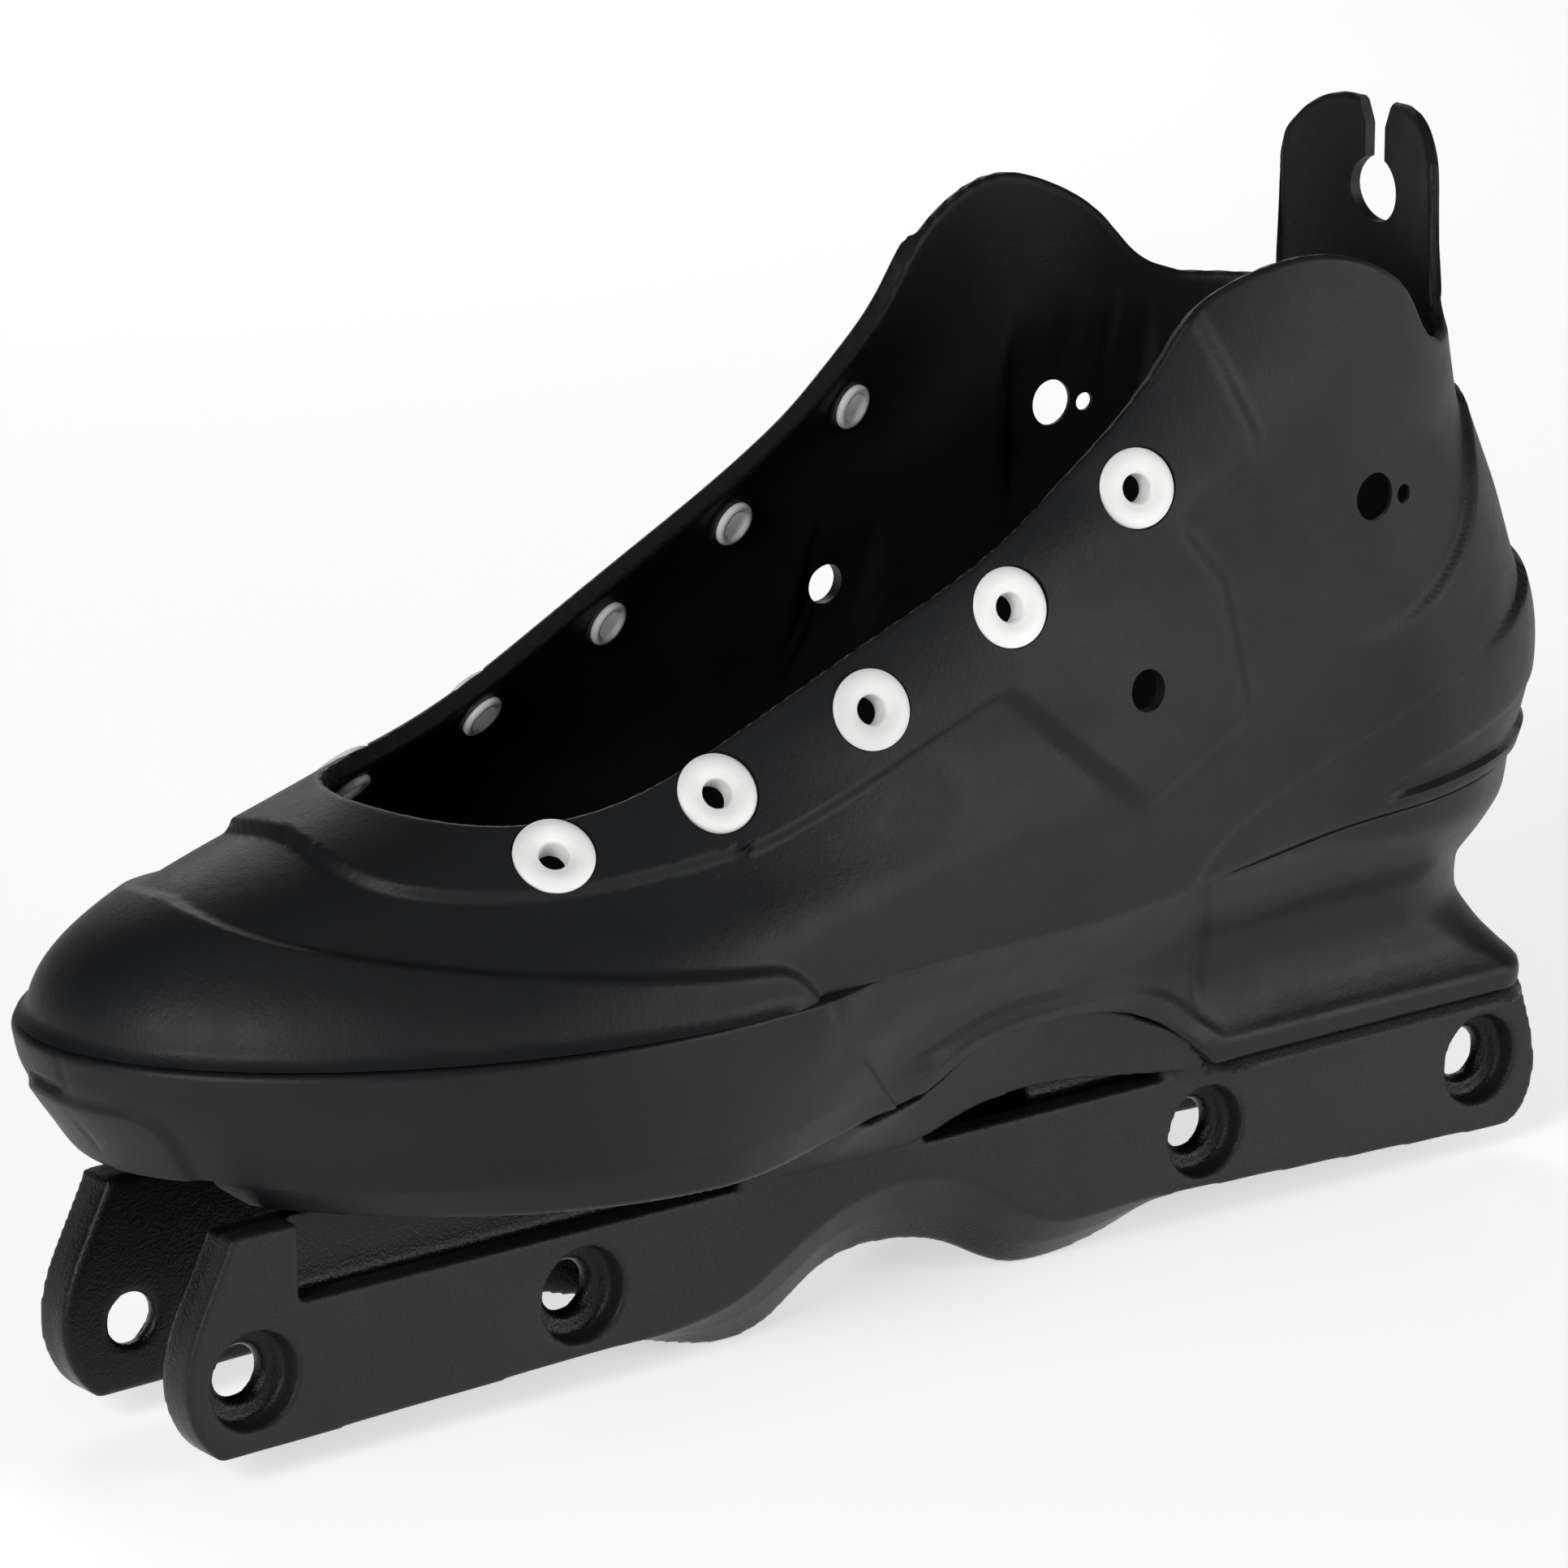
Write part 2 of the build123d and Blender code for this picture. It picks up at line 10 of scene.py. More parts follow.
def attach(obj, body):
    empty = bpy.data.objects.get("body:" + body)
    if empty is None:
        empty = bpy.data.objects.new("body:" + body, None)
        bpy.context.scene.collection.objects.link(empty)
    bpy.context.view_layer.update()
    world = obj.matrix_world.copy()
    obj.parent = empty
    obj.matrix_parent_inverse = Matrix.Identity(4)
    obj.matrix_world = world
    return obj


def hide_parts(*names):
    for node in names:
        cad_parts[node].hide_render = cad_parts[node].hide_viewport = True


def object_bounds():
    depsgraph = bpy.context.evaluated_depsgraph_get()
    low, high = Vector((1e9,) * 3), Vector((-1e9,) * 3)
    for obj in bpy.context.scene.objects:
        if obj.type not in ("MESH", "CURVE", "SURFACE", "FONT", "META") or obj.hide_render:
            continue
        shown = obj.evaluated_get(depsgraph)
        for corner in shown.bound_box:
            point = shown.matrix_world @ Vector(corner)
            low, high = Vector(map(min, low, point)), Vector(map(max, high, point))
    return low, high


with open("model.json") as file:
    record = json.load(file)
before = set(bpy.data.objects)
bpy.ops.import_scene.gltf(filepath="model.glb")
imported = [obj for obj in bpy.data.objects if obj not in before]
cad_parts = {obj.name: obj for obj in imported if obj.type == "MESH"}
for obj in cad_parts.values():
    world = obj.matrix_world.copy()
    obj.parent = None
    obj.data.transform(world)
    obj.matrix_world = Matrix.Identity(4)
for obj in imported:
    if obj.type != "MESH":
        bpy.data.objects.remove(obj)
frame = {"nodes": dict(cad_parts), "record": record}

# Looks of a left inline-skate shell on its twin-rail frame.
# Shapes are worked out in millimetres from a datum on the axle line, halfway between the outer
# axles, and placed in the row frame, in metres. x runs from toe to heel, -y is the outer side.

cad_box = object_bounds()
mounts = {mount["name"]: mount for mount in frame["record"]["mounts"]}
toe_axle = np.array(mounts["toe_axle"]["pos_m"])
heel_axle = np.array(mounts["heel_axle"]["pos_m"])
datum = (toe_axle + heel_axle) / 2
MM = 0.001
OUTER, INNER = -1, 1
side_names = {OUTER: "lateral", INNER: "medial"}


def to_row(points):
    """Millimetres from the datum to metres in the row frame."""
    return np.asarray(points) * MM + datum


def from_row(points):
    return (np.asarray(points) - datum) / MM


def smooth(t):
    t = np.clip(t, 0.0, 1.0)
    return t * t * (3 - 2 * t)


# ---- the boot's outer form ----
# Each level is a horizontal outline: height, toe x, length of the toe curve, half-widths at the
# ball, the waist and the heel, heel x and length of the heel curve.
UPPER_LEVELS = (
    (45.0, -144.6, 86, 49.0, 45.0, 38.0, 137.0, 46),
    (49.0, -144.2, 88, 48.9, 45.5, 39.6, 137.4, 47),
    (56.0, -143.0, 95, 48.6, 45.5, 41.3, 138.3, 49),
    (61.0, -139.5, 105, 48.2, 45.5, 41.7, 139.2, 50),
    (66.0, -134.0, 125, 47.8, 45.3, 42.0, 140.5, 50),
    (71.0, -125.5, 148, 47.3, 45.0, 42.4, 141.2, 50),
    (76.0, -111.0, 145, 47.0, 44.6, 42.7, 141.5, 50),
    (82.0, -92.5, 133, 46.5, 43.8, 42.9, 140.9, 50),
    (86.5, -81.0, 114, 45.0, 43.4, 43.0, 139.4, 50),
    (91.0, -70.5, 94, 43.0, 42.8, 43.0, 137.5, 50),
    (104.0, -48.0, 84, 41.0, 41.5, 43.2, 132.8, 50),
    (120.0, -12.0, 73, 43.0, 43.0, 43.4, 125.3, 50),
    (135.0, 6.0, 71, 44.0, 44.0, 43.8, 122.0, 49),
    (154.0, 22.0, 60, 44.5, 44.5, 44.0, 121.0, 47),
    (172.0, 30.0, 55, 44.5, 44.5, 44.0, 121.0, 47),
)
SOLE_LEVELS = (
    (8.0, -122.0, 66, 49.5, 25.0, 25.0, 138.5, 11),
    (13.5, -122.0, 66, 49.5, 25.5, 24.8, 139.6, 11),
    (18.0, -123.0, 67, 50.0, 26.0, 25.3, 140.4, 11),
    (22.5, -127.4, 71, 50.5, 27.5, 22.6, 136.6, 16),
    (30.0, -136.0, 80, 50.2, 29.0, 21.6, 133.2, 28),
    (37.0, -140.5, 86, 49.8, 34.0, 24.8, 133.4, 35),
    (44.0, -143.6, 90, 49.6, 41.0, 33.0, 136.0, 42),
    (51.0, -145.0, 90, 49.6, 45.8, 40.0, 137.8, 47),
    (60.0, -145.0, 90, 49.6, 46.0, 41.5, 139.0, 50),
)
BALL_X, WAIST_X, HEEL_X = -60.0, 15.0, 85.0
TOE_TWIST, TWIST_START, TWIST_LENGTH = 9.5, -40.0, 105.0
WALL = 3.5


def centre_line(x):
    return TOE_TWIST * (np.maximum(0.0, TWIST_START - x) / TWIST_LENGTH) ** 2


class Form:
    """Smooth outer form through a table of levels."""

    STEP = 0.5

    def __init__(self, levels, blur):
        levels = np.array(levels, float)
        self.z = np.arange(levels[0, 0], levels[-1, 0] + self.STEP / 2, self.STEP)
        raw = np.stack([np.interp(self.z, levels[:, 0], column) for column in levels[:, 1:].T], 1)
        reach = int(3 * blur / self.STEP)
        kernel = np.exp(-0.5 * (np.arange(-reach, reach + 1) * self.STEP / blur) ** 2)
        padded = np.pad(raw, ((reach, reach), (0, 0)), mode="reflect", reflect_type="odd")
        kernel /= kernel.sum()
        self.values = np.stack([np.convolve(column, kernel, mode="valid") for column in padded.T], 1)

    def level(self, z):
        return [np.interp(z, self.z, column) for column in self.values.T]

    def half_width(self, x, z):
        toe, toe_length, ball, waist, heel, back, back_length = self.level(z)
        fore = ball + (waist - ball) * smooth((x - BALL_X) / (WAIST_X - BALL_X))
        aft = waist + (heel - waist) * smooth((x - WAIST_X) / (HEEL_X - WAIST_X))
        toe_part = np.clip(1 - (x - toe) / toe_length, 0, 1)
        back_part = np.clip(1 - (back - x) / back_length, 0, 1)
        width = np.where(x < WAIST_X, fore, aft)
        return width * np.sqrt(1 - toe_part ** 2) * np.sqrt(1 - back_part ** 2)

    def turn(self, x, z):
        """Angle round the boot, 0 at the toe and pi at the heel, of the place at x and height z."""
        toe, back = self.level(z)[0], self.level(z)[5]
        return np.arccos(np.clip(1 - 2 * (x - toe) / (back - toe), -1, 1))

    def x_of(self, turn, z):
        toe, back = self.level(z)[0], self.level(z)[5]
        return toe + (back - toe) * (1 - np.cos(turn)) / 2

    def points(self, turn, z, side=OUTER):
        """Places on the skin; a turn past either end carries on round the other side."""
        x = self.x_of(turn, z)
        beyond = np.where((turn < 0) | (turn > math.pi), -1.0, 1.0)
        return np.stack([x, centre_line(x) + side * beyond * self.half_width(x, z), z + 0 * x], -1)

    def normals(self, turn, z, side=OUTER, step=0.004, rise=0.4):
        """Outward unit normals of the form, by differences."""
        onward = self.points(turn + step, z, side) - self.points(turn - step, z, side)
        upward = self.points(turn, z + rise, side) - self.points(turn, z - rise, side)
        normal = np.cross(onward, upward) * (-side)
        length = np.linalg.norm(normal, axis=-1, keepdims=True)
        return normal / np.maximum(length, 1e-9)


upper_form = Form(UPPER_LEVELS, 2.6)
sole_form = Form(SOLE_LEVELS, 1.6)


def cubic_line(points, per_span=24):
    """Points on a smooth curve through the given ones (a natural cubic spline by chord length)."""
    points = np.array(points, float)
    knots = np.concatenate([[0], np.cumsum(np.linalg.norm(np.diff(points, axis=0), axis=1))])
    gaps = np.diff(knots)
    count = len(points)
    matrix = np.eye(count)
    right = np.zeros_like(points)
    for i in range(1, count - 1):
        matrix[i, i - 1:i + 2] = gaps[i - 1], 2 * (gaps[i - 1] + gaps[i]), gaps[i]
        right[i] = 6 * ((points[i + 1] - points[i]) / gaps[i] - (points[i] - points[i - 1]) / gaps[i - 1])
    bend = np.linalg.solve(matrix, right)
    at = np.linspace(0, knots[-1], per_span * (count - 1) + 1)
    span = np.clip(np.searchsorted(knots, at) - 1, 0, count - 2)
    gap, ahead, behind = gaps[span][:, None], (knots[span + 1] - at)[:, None], (at - knots[span])[:, None]
    return ((bend[span] * ahead ** 3 + bend[span + 1] * behind ** 3) / (6 * gap)
            + (points[span] / gap - bend[span] * gap / 6) * ahead
            + (points[span + 1] / gap - bend[span + 1] * gap / 6) * behind)


def along(path, shares):
    """Points at shares of the length of a polyline."""
    lengths = np.concatenate([[0], np.cumsum(np.linalg.norm(np.diff(path, axis=0), axis=1))])
    return np.stack([np.interp(np.asarray(shares) * lengths[-1], lengths, column) for column in path.T], 1)


def tree_of(points):
    tree = kdtree.KDTree(len(points))
    for index, place in enumerate(points):
        tree.insert(place, index)
    tree.balance()
    return tree


def tree_distance(tree, places):
    """Distance of each place from the nearest point of a tree."""
    flat = places.reshape(-1, 3)
    return np.array([tree.find(place)[2] for place in flat]).reshape(places.shape[:-1])


# ---- lines drawn on the skin ----
class SkinLine:
    """A line on one side of the form, given as (x, z) of the side view or as (turn, z) points."""

    TURN_LENGTH = 90.0

    def __init__(self, form, points, curved=True, turned=False):
        # A turn of one radian is about TURN_LENGTH along the skin, which keeps curves even.
        points = np.array(points, float) * ((self.TURN_LENGTH, 1) if turned else (1, 1))
        path = cubic_line(points, 60) if curved else along(points, np.linspace(0, 1, 240))
        self.turn = path[:, 0] / self.TURN_LENGTH if turned else form.turn(path[:, 0], path[:, 1])
        self.z = path[:, 1]
        places = form.points(self.turn, self.z)
        self.tree = tree_of(along(places, np.linspace(0, 1, 500)))

    def distance(self, places):
        return tree_distance(self.tree, places)

    def outline(self):
        return list(zip(self.turn, self.z))


def inside(turn, z, outline):
    """Whether each (turn, z) lies inside a closed outline."""
    outline = np.array(outline)
    hit = np.zeros(turn.shape, bool)
    for (t0, z0), (t1, z1) in zip(outline, np.roll(outline, -1, axis=0)):
        crosses = (z0 > z) != (z1 > z)
        with np.errstate(divide="ignore", invalid="ignore"):
            where = t0 + (z - z0) * (t1 - t0) / (z1 - z0)
        hit ^= crosses & (turn < where)
    return hit


def signed(line, places, turn, z, closing):
    """Distance from a skin line, positive on the side closed off by the closing points."""
    outline = line.outline() + list(closing)
    return np.where(inside(turn, z, outline), 1.0, -1.0) * line.distance(places)


def ledge(distance, width):
    """0 to 1 across a step of this width, with slightly softened corners."""
    ramp = np.clip(distance / width + 0.5, 0, 1)
    return 0.6 * ramp + 0.4 * smooth(ramp)


def rounded_edge(distance, radius):
    """How far a rounded edge falls back, this far from the edge."""
    reach = np.clip(radius - distance, 0, radius)
    return radius - np.sqrt(radius ** 2 - reach ** 2)


# ---- meshes ----
def grid_faces(rows, columns, start=0, flip=False):
    """Quads of a grid stored row by row."""
    corner = (np.arange(rows - 1)[:, None] * columns + np.arange(columns - 1)[None, :]).ravel() + start
    quads = np.stack([corner, corner + 1, corner + columns + 1, corner + columns], 1)
    return quads[:, ::-1] if flip else quads


def make_mesh(name, vertices, faces, material_index=None):
    mesh = bpy.data.meshes.new(name)
    mesh.from_pydata([tuple(v) for v in vertices], [], [tuple(int(i) for i in f) for f in faces])
    mesh.validate()
    if material_index is not None:
        mesh.polygons.foreach_set("material_index", np.asarray(material_index, np.int32))
    mesh.polygons.foreach_set("use_smooth", np.ones(len(mesh.polygons), bool))
    mesh.update()
    piece = bpy.data.objects.new(name, mesh)
    bpy.context.scene.collection.objects.link(piece)
    return piece


def clean(piece, weld=1e-6):
    """Joins coincident points and turns every face outward."""
    made = bmesh.new()
    made.from_mesh(piece.data)
    bmesh.ops.remove_doubles(made, verts=made.verts, dist=weld)
    bmesh.ops.dissolve_degenerate(made, edges=made.edges, dist=weld)
    bmesh.ops.recalc_face_normals(made, faces=made.faces)
    made.to_mesh(piece.data)
    made.free()
    piece.data.update()


WELD = 2e-5


def mesh_of_grids(name, vertices, faces, slots):
    """One welded piece of several grids, given in mm from the datum."""
    piece = make_mesh(name, to_row(np.concatenate(vertices)), np.concatenate(faces), np.concatenate(slots))
    clean(piece, WELD)
    return piece


def prism(profile, low, high, place):
    """Vertices and faces of a closed prism; place turns (u, v, w) arrays into mm from the datum."""
    profile = np.array(profile, float)
    count = len(profile)
    vertices = [place(profile[:, 0], profile[:, 1], np.full(count, w)) for w in (low, high)]
    faces = [list(range(count)), list(range(2 * count - 1, count - 1, -1))]
    faces += [[i, (i + 1) % count, count + (i + 1) % count, count + i] for i in range(count)]
    return np.concatenate(vertices), faces


def circle(radius, centre=(0, 0), count=64):
    angle = np.linspace(0, 2 * math.pi, count, endpoint=False)
    return np.stack([centre[0] + radius * np.cos(angle), centre[1] + radius * np.sin(angle)], 1)


def lathe(rings, place, count=64):
    """Closed solid of revolution through (radius, height) rings, in a prism's own axes."""
    vertices, faces = [], []
    for radius, height in rings:
        ring = circle(radius, count=count)
        vertices.append(place(ring[:, 0], ring[:, 1], np.full(count, float(height))))
    for level in range(len(rings) - 1):
        for i in range(count):
            j = (i + 1) % count
            lower, higher = level * count, (level + 1) * count
            faces.append([lower + i, lower + j, higher + j, higher + i])
    last = (len(rings) - 1) * count
    faces += [list(range(count)), list(range(last + count - 1, last - 1, -1))]
    return np.concatenate(vertices), faces


def across(u, v, w):
    """Side-view profile (x, z) with w along y."""
    return np.stack([u, w, v], 1)


def fore_and_aft(u, v, w):
    """Rear-view profile (y, z) with w along x."""
    return np.stack([w, u, v], 1)


def upright_at(middle):
    """Plan profile (x, y) about this x, with w along z."""
    return lambda u, v, w: np.stack([u + middle, v, w], 1)


def along_axis(centre, axis):
    """Profiles square to an axis through a centre, with w along it."""
    axis = np.array(axis) / np.linalg.norm(axis)
    first = np.cross(axis, (0, 0, 1.0))
    first /= np.linalg.norm(first)
    second = np.cross(axis, first)
    return lambda u, v, w: np.array(centre) + u[:, None] * first + v[:, None] * second + w[:, None] * axis


def cutter(name, prisms):
    """One mesh object of several closed prisms that don't touch."""
    vertices, faces, start = [], [], 0
    for points, sides in prisms:
        vertices.append(points)
        faces += [[start + i for i in side] for side in sides]
        start += len(points)
    piece = make_mesh(name, to_row(np.concatenate(vertices)), faces)
    clean(piece)
    return piece


def cut(piece, tool):
    """Cuts the tool out of the piece and removes the tool."""
    boolean = piece.modifiers.new("cut", "BOOLEAN")
    boolean.object, boolean.operation, boolean.solver = tool, "DIFFERENCE", "EXACT"
    graph = bpy.context.evaluated_depsgraph_get()
    made = bpy.data.meshes.new_from_object(piece.evaluated_get(graph))
    piece.modifiers.clear()
    old = piece.data
    piece.data = made
    made.name = old.name
    bpy.data.meshes.remove(old)
    bpy.data.objects.remove(tool)


def sharpen(piece, degrees=40):
    """Smooth shading, with edges sharper than this kept crisp."""
    piece.data.polygons.foreach_set("use_smooth", np.ones(len(piece.data.polygons), bool))
    piece.data.set_sharp_from_angle(angle=math.radians(degrees))


# ---- materials ----
def shader(name):
    material = bpy.data.materials.new(name)
    material.use_nodes = True
    return material, material.node_tree, material.node_tree.nodes["Principled BSDF"]


def node(tree, kind, **settings):
    made = tree.nodes.new(kind)
    for key, value in settings.items():
        if hasattr(made, key):
            setattr(made, key, value)
        else:
            made.inputs[key.replace("_", " ")].default_value = value
    return made


def noise(tree, scale, detail=4.0, roughness=0.55, stretch=(1, 1, 1)):
    """Noise in object space, with its scale in bumps per metre."""
    where = node(tree, "ShaderNodeTexCoord")
    mapping = node(tree, "ShaderNodeMapping")
    mapping.inputs["Scale"].default_value = stretch
    tree.links.new(where.outputs["Object"], mapping.inputs["Vector"])
    made = node(tree, "ShaderNodeTexNoise")
    made.inputs["Scale"].default_value = scale
    made.inputs["Detail"].default_value = detail
    made.inputs["Roughness"].default_value = roughness
    tree.links.new(mapping.outputs["Vector"], made.inputs["Vector"])
    return made.outputs["Fac"]


def remap(tree, value, low, high, from_low=0.3, from_high=0.7):
    made = node(tree, "ShaderNodeMapRange")
    made.inputs["From Min"].default_value, made.inputs["From Max"].default_value = from_low, from_high
    made.inputs["To Min"].default_value, made.inputs["To Max"].default_value = low, high
    tree.links.new(value, made.inputs["Value"])
    return made.outputs["Result"]


def mix_colour(tree, factor, first, second):
    made = node(tree, "ShaderNodeMix", data_type="RGBA")
    made.inputs["A"].default_value = (*first, 1)
    made.inputs["B"].default_value = (*second, 1)
    tree.links.new(factor, made.inputs["Factor"])
    return made.outputs["Result"]


def bump(tree, height, distance, strength=1.0, below=None):
    made = node(tree, "ShaderNodeBump")
    made.inputs["Distance"].default_value = distance
    made.inputs["Strength"].default_value = strength
    tree.links.new(height, made.inputs["Height"])
    if below is not None:
        tree.links.new(below, made.inputs["Normal"])
    return made.outputs["Normal"]


CLOUD_SCALE, RUB_SCALE, WAVE_SCALE = 28, 75, 160      # bumps per metre
CLOUD_DARK, CLOUD_LIGHT = 0.86, 1.16
WAVE_DEPTH = 0.00012


def moulded_plastic(name, colour, roughness, grain, grain_depth, specular=0.25):
    """Moulded plastic: a fine grain, faint clouding of colour and gloss, and a few handling marks."""
    material, tree, surface = shader(name)
    clouds = remap(tree, noise(tree, CLOUD_SCALE, 5), 0, 1)
    darker = [c * CLOUD_DARK for c in colour]
    lighter = [c * CLOUD_LIGHT for c in colour]
    tree.links.new(mix_colour(tree, clouds, darker, lighter), surface.inputs["Base Color"])
    rub = remap(tree, noise(tree, RUB_SCALE, 6, 0.65), roughness - 0.05, roughness + 0.06)
    tree.links.new(rub, surface.inputs["Roughness"])
    soft = bump(tree, noise(tree, WAVE_SCALE, 3), WAVE_DEPTH)
    fine = bump(tree, noise(tree, grain, 3, 0.6), grain_depth, 1.0, soft)
    tree.links.new(fine, surface.inputs["Normal"])
    surface.inputs["Specular IOR Level"].default_value = specular
    return material


def blend_over(tree, surface, socket, factor, value):
    """Mixes a fixed colour or number over what already feeds a socket."""
    below = surface.inputs[socket].links[0].from_socket
    blend = node(tree, "ShaderNodeMix", data_type="RGBA" if socket == "Base Color" else "FLOAT")
    blend.inputs["B"].default_value = value
    tree.links.new(factor, blend.inputs["Factor"])
    tree.links.new(below, blend.inputs["A"])
    tree.links.new(blend.outputs["Result"], surface.inputs[socket])


def scuffs_and_painted_sheen(material, low, high, colour):
    """Adds pale streaks that come in with height: rubbed scuffs where the foot goes in and out, and painted
    sheen standing in for brushed highlights near the ear.
    """
    tree = material.node_tree
    surface = tree.nodes["Principled BSDF"]
    where = node(tree, "ShaderNodeTexCoord")
    split = node(tree, "ShaderNodeSeparateXYZ")
    tree.links.new(where.outputs["Object"], split.inputs["Vector"])
    height = remap(tree, split.outputs["Z"], 0, 1, low, high)
    patches = remap(tree, noise(tree, 38, 4, 0.6), 0, 1, 0.42, 0.62)
    streaks = remap(tree, noise(tree, 60, 8, 0.75, (4, 4, 0.8)), 0.15, 1, 0.35, 0.7)
    product = node(tree, "ShaderNodeMath", operation="MULTIPLY")
    tree.links.new(height, product.inputs[0])
    tree.links.new(patches, product.inputs[1])
    strength = node(tree, "ShaderNodeMath", operation="MULTIPLY")
    tree.links.new(product.outputs[0], strength.inputs[0])
    tree.links.new(streaks, strength.inputs[1])
    blend_over(tree, surface, "Base Color", strength.outputs[0], (*colour, 1))


def glossy_inside_painted_shade(material, half_width, colour, roughness):
    """Glossier between the rails and in the axle recesses, where the mould is polished; the darker colour
    there is painted shade.
    """
    tree = material.node_tree
    surface = tree.nodes["Principled BSDF"]
    where = node(tree, "ShaderNodeTexCoord")
    split = node(tree, "ShaderNodeSeparateXYZ")
    tree.links.new(where.outputs["Object"], split.inputs["Vector"])
    beside = node(tree, "ShaderNodeMath", operation="ABSOLUTE")
    tree.links.new(split.outputs["Y"], beside.inputs[0])
    shade_and_gloss_mask = remap(tree, beside.outputs[0], 1, 0, half_width, half_width + 0.0004)
    blend_over(tree, surface, "Base Color", shade_and_gloss_mask, (*colour, 1))
    blend_over(tree, surface, "Roughness", shade_and_gloss_mask, roughness)


BLACK = (0.0065, 0.0072, 0.0082)
# Colour of the painted shade on the frame between the rails and in the axle recesses.
PAINTED_SHADE_BLACK = (0.003, 0.003, 0.0033)
GLOSS_AND_SHADE_HALF = 0.0172      # glossier, and painted darker as shade, within this distance of the middle plane, in metres
SHEEN_AND_SCUFF_FROM, SHEEN_AND_SCUFF_FULL = 0.12, 0.16     # heights where the scuffs and painted sheen begin and are strongest
# Pale grey of the scuffs and of the painted sheen inside the ear.
SCUFF_AND_SHEEN_GREY = (0.3, 0.303, 0.31)
upper_skin = moulded_plastic("shell_plastic_skin", BLACK, 0.50, 1500, 0.00006)
sole_skin = moulded_plastic("sole_plastic_skin", BLACK, 0.47, 1500, 0.00006)
grind_skin = moulded_plastic("sole_plastic_textured", BLACK, 0.50, 2000, 0.00018)
frame_skin = moulded_plastic("frame_plastic_skin", (0.0105, 0.011, 0.012), 0.44, 2100, 0.00016)
inner_skin = moulded_plastic("shell_plastic_inside", (0.003, 0.003, 0.0034), 0.22, 700, 0.00005, 0.5)
# The frame's inner faces get painted shade and a glossier finish.
glossy_inside_painted_shade(frame_skin, GLOSS_AND_SHADE_HALF, PAINTED_SHADE_BLACK, 0.28)
# Pale streaks inside, partly scuffs and partly painted sheen of highlights near the ear.
scuffs_and_painted_sheen(inner_skin, SHEEN_AND_SCUFF_FROM, SHEEN_AND_SCUFF_FULL, SCUFF_AND_SHEEN_GREY)
washer_skin = moulded_plastic("washer_plastic", (0.010, 0.010, 0.011), 0.34, 1600, 0.00004)
white_enamel = moulded_plastic("white_enamel", (0.80, 0.80, 0.79), 0.36, 1200, 0.00002)
# Grey, glossier enamel for the rolled barrel ends of the grommets.
grey_barrel_enamel = moulded_plastic("grey_barrel_enamel", (0.42, 0.42, 0.43), 0.28, 1200, 0.00003, 0.6)
zinc = moulded_plastic("zinc_plate", (0.55, 0.55, 0.56), 0.34, 900, 0.00003)
brass = moulded_plastic("turned_brass", (0.70, 0.52, 0.24), 0.35, 900, 0.00003)
for metal in (zinc, brass):
    metal.node_tree.nodes["Principled BSDF"].inputs["Metallic"].default_value = 1.0

# ---- upper shell ----
RIM_FRONT = ((-94.2, 82.4), (-86, 81.1), (-75.4, 80.9), (-61.2, 83.4), (-42.6, 90.7), (-16.6, 102.6),
             (7.7, 114.3), (28.8, 129.2), (39.2, 139.3), (44.5, 146), (55, 152), (68, 154),
             (80, 151), (91, 144), (98.5, 136.0), (104, 134.0))
COLLAR_HEIGHT = 134.0
TAB_HALF = 20.5
TAB_FILLET = 5.0
TAB_TOP = 167.0
TAB_SHOULDER = ((TAB_HALF, 155), (19.7, 159.3), (17.2, 162.8), (13.6, 165.6), (9, TAB_TOP))
KEYHOLE_HEIGHT, KEYHOLE_RADIUS, KEY_SLOT, KEY_MOUTH, KEY_FLARE = 151.6, 5.7, 4.8, 9.0, 162.5
KEY_MOUTH_HEIGHT, KEY_CUT_TOP = 168, 175
KEY_CUT_FORE, KEY_CUT_AFT = 103, 150
HOLE_CUTS = ((-60, -30), (30, 60))      # from and to, across the boot
EYELET_CUT = 9      # how far an eyelet's cutter reaches either way along its axis
CUFF_HOLE = (81.2, 112.0, 4.0)
PIN_HOLE = (88.1, 111.3, 1.6)
STRAP_HOLE = (31.9, 87.8, 3.5)
EYELET_HOLE = 3.2
FLANGE_SEAT, WASHER_SEAT = 6.8, 6.0
RIM_ROUND = 1.1
SEAM_GUESS = 52      # height from which the seam is settled


def seam_height(x):
    return 50.4 + 8.0 * smooth((x - 20.0) / 110.0)


def back_turn(y, z):
    """Turn of the place on the heel curve at a distance y from the middle."""
    heel, back, back_length = upper_form.level(z)[4:]
    part = np.sqrt(1 - np.clip(y / heel, 0, 1) ** 2)
    return upper_form.turn(back - back_length * (1 - part), z)


def settle(form, turn, height_at, start):
    """Heights of a level line that depends on x, at given turns."""
    z = np.full(turn.shape, float(start))
    for _ in range(12):
        z = 0.5 * z + 0.5 * height_at(form.x_of(turn, z))
    return z


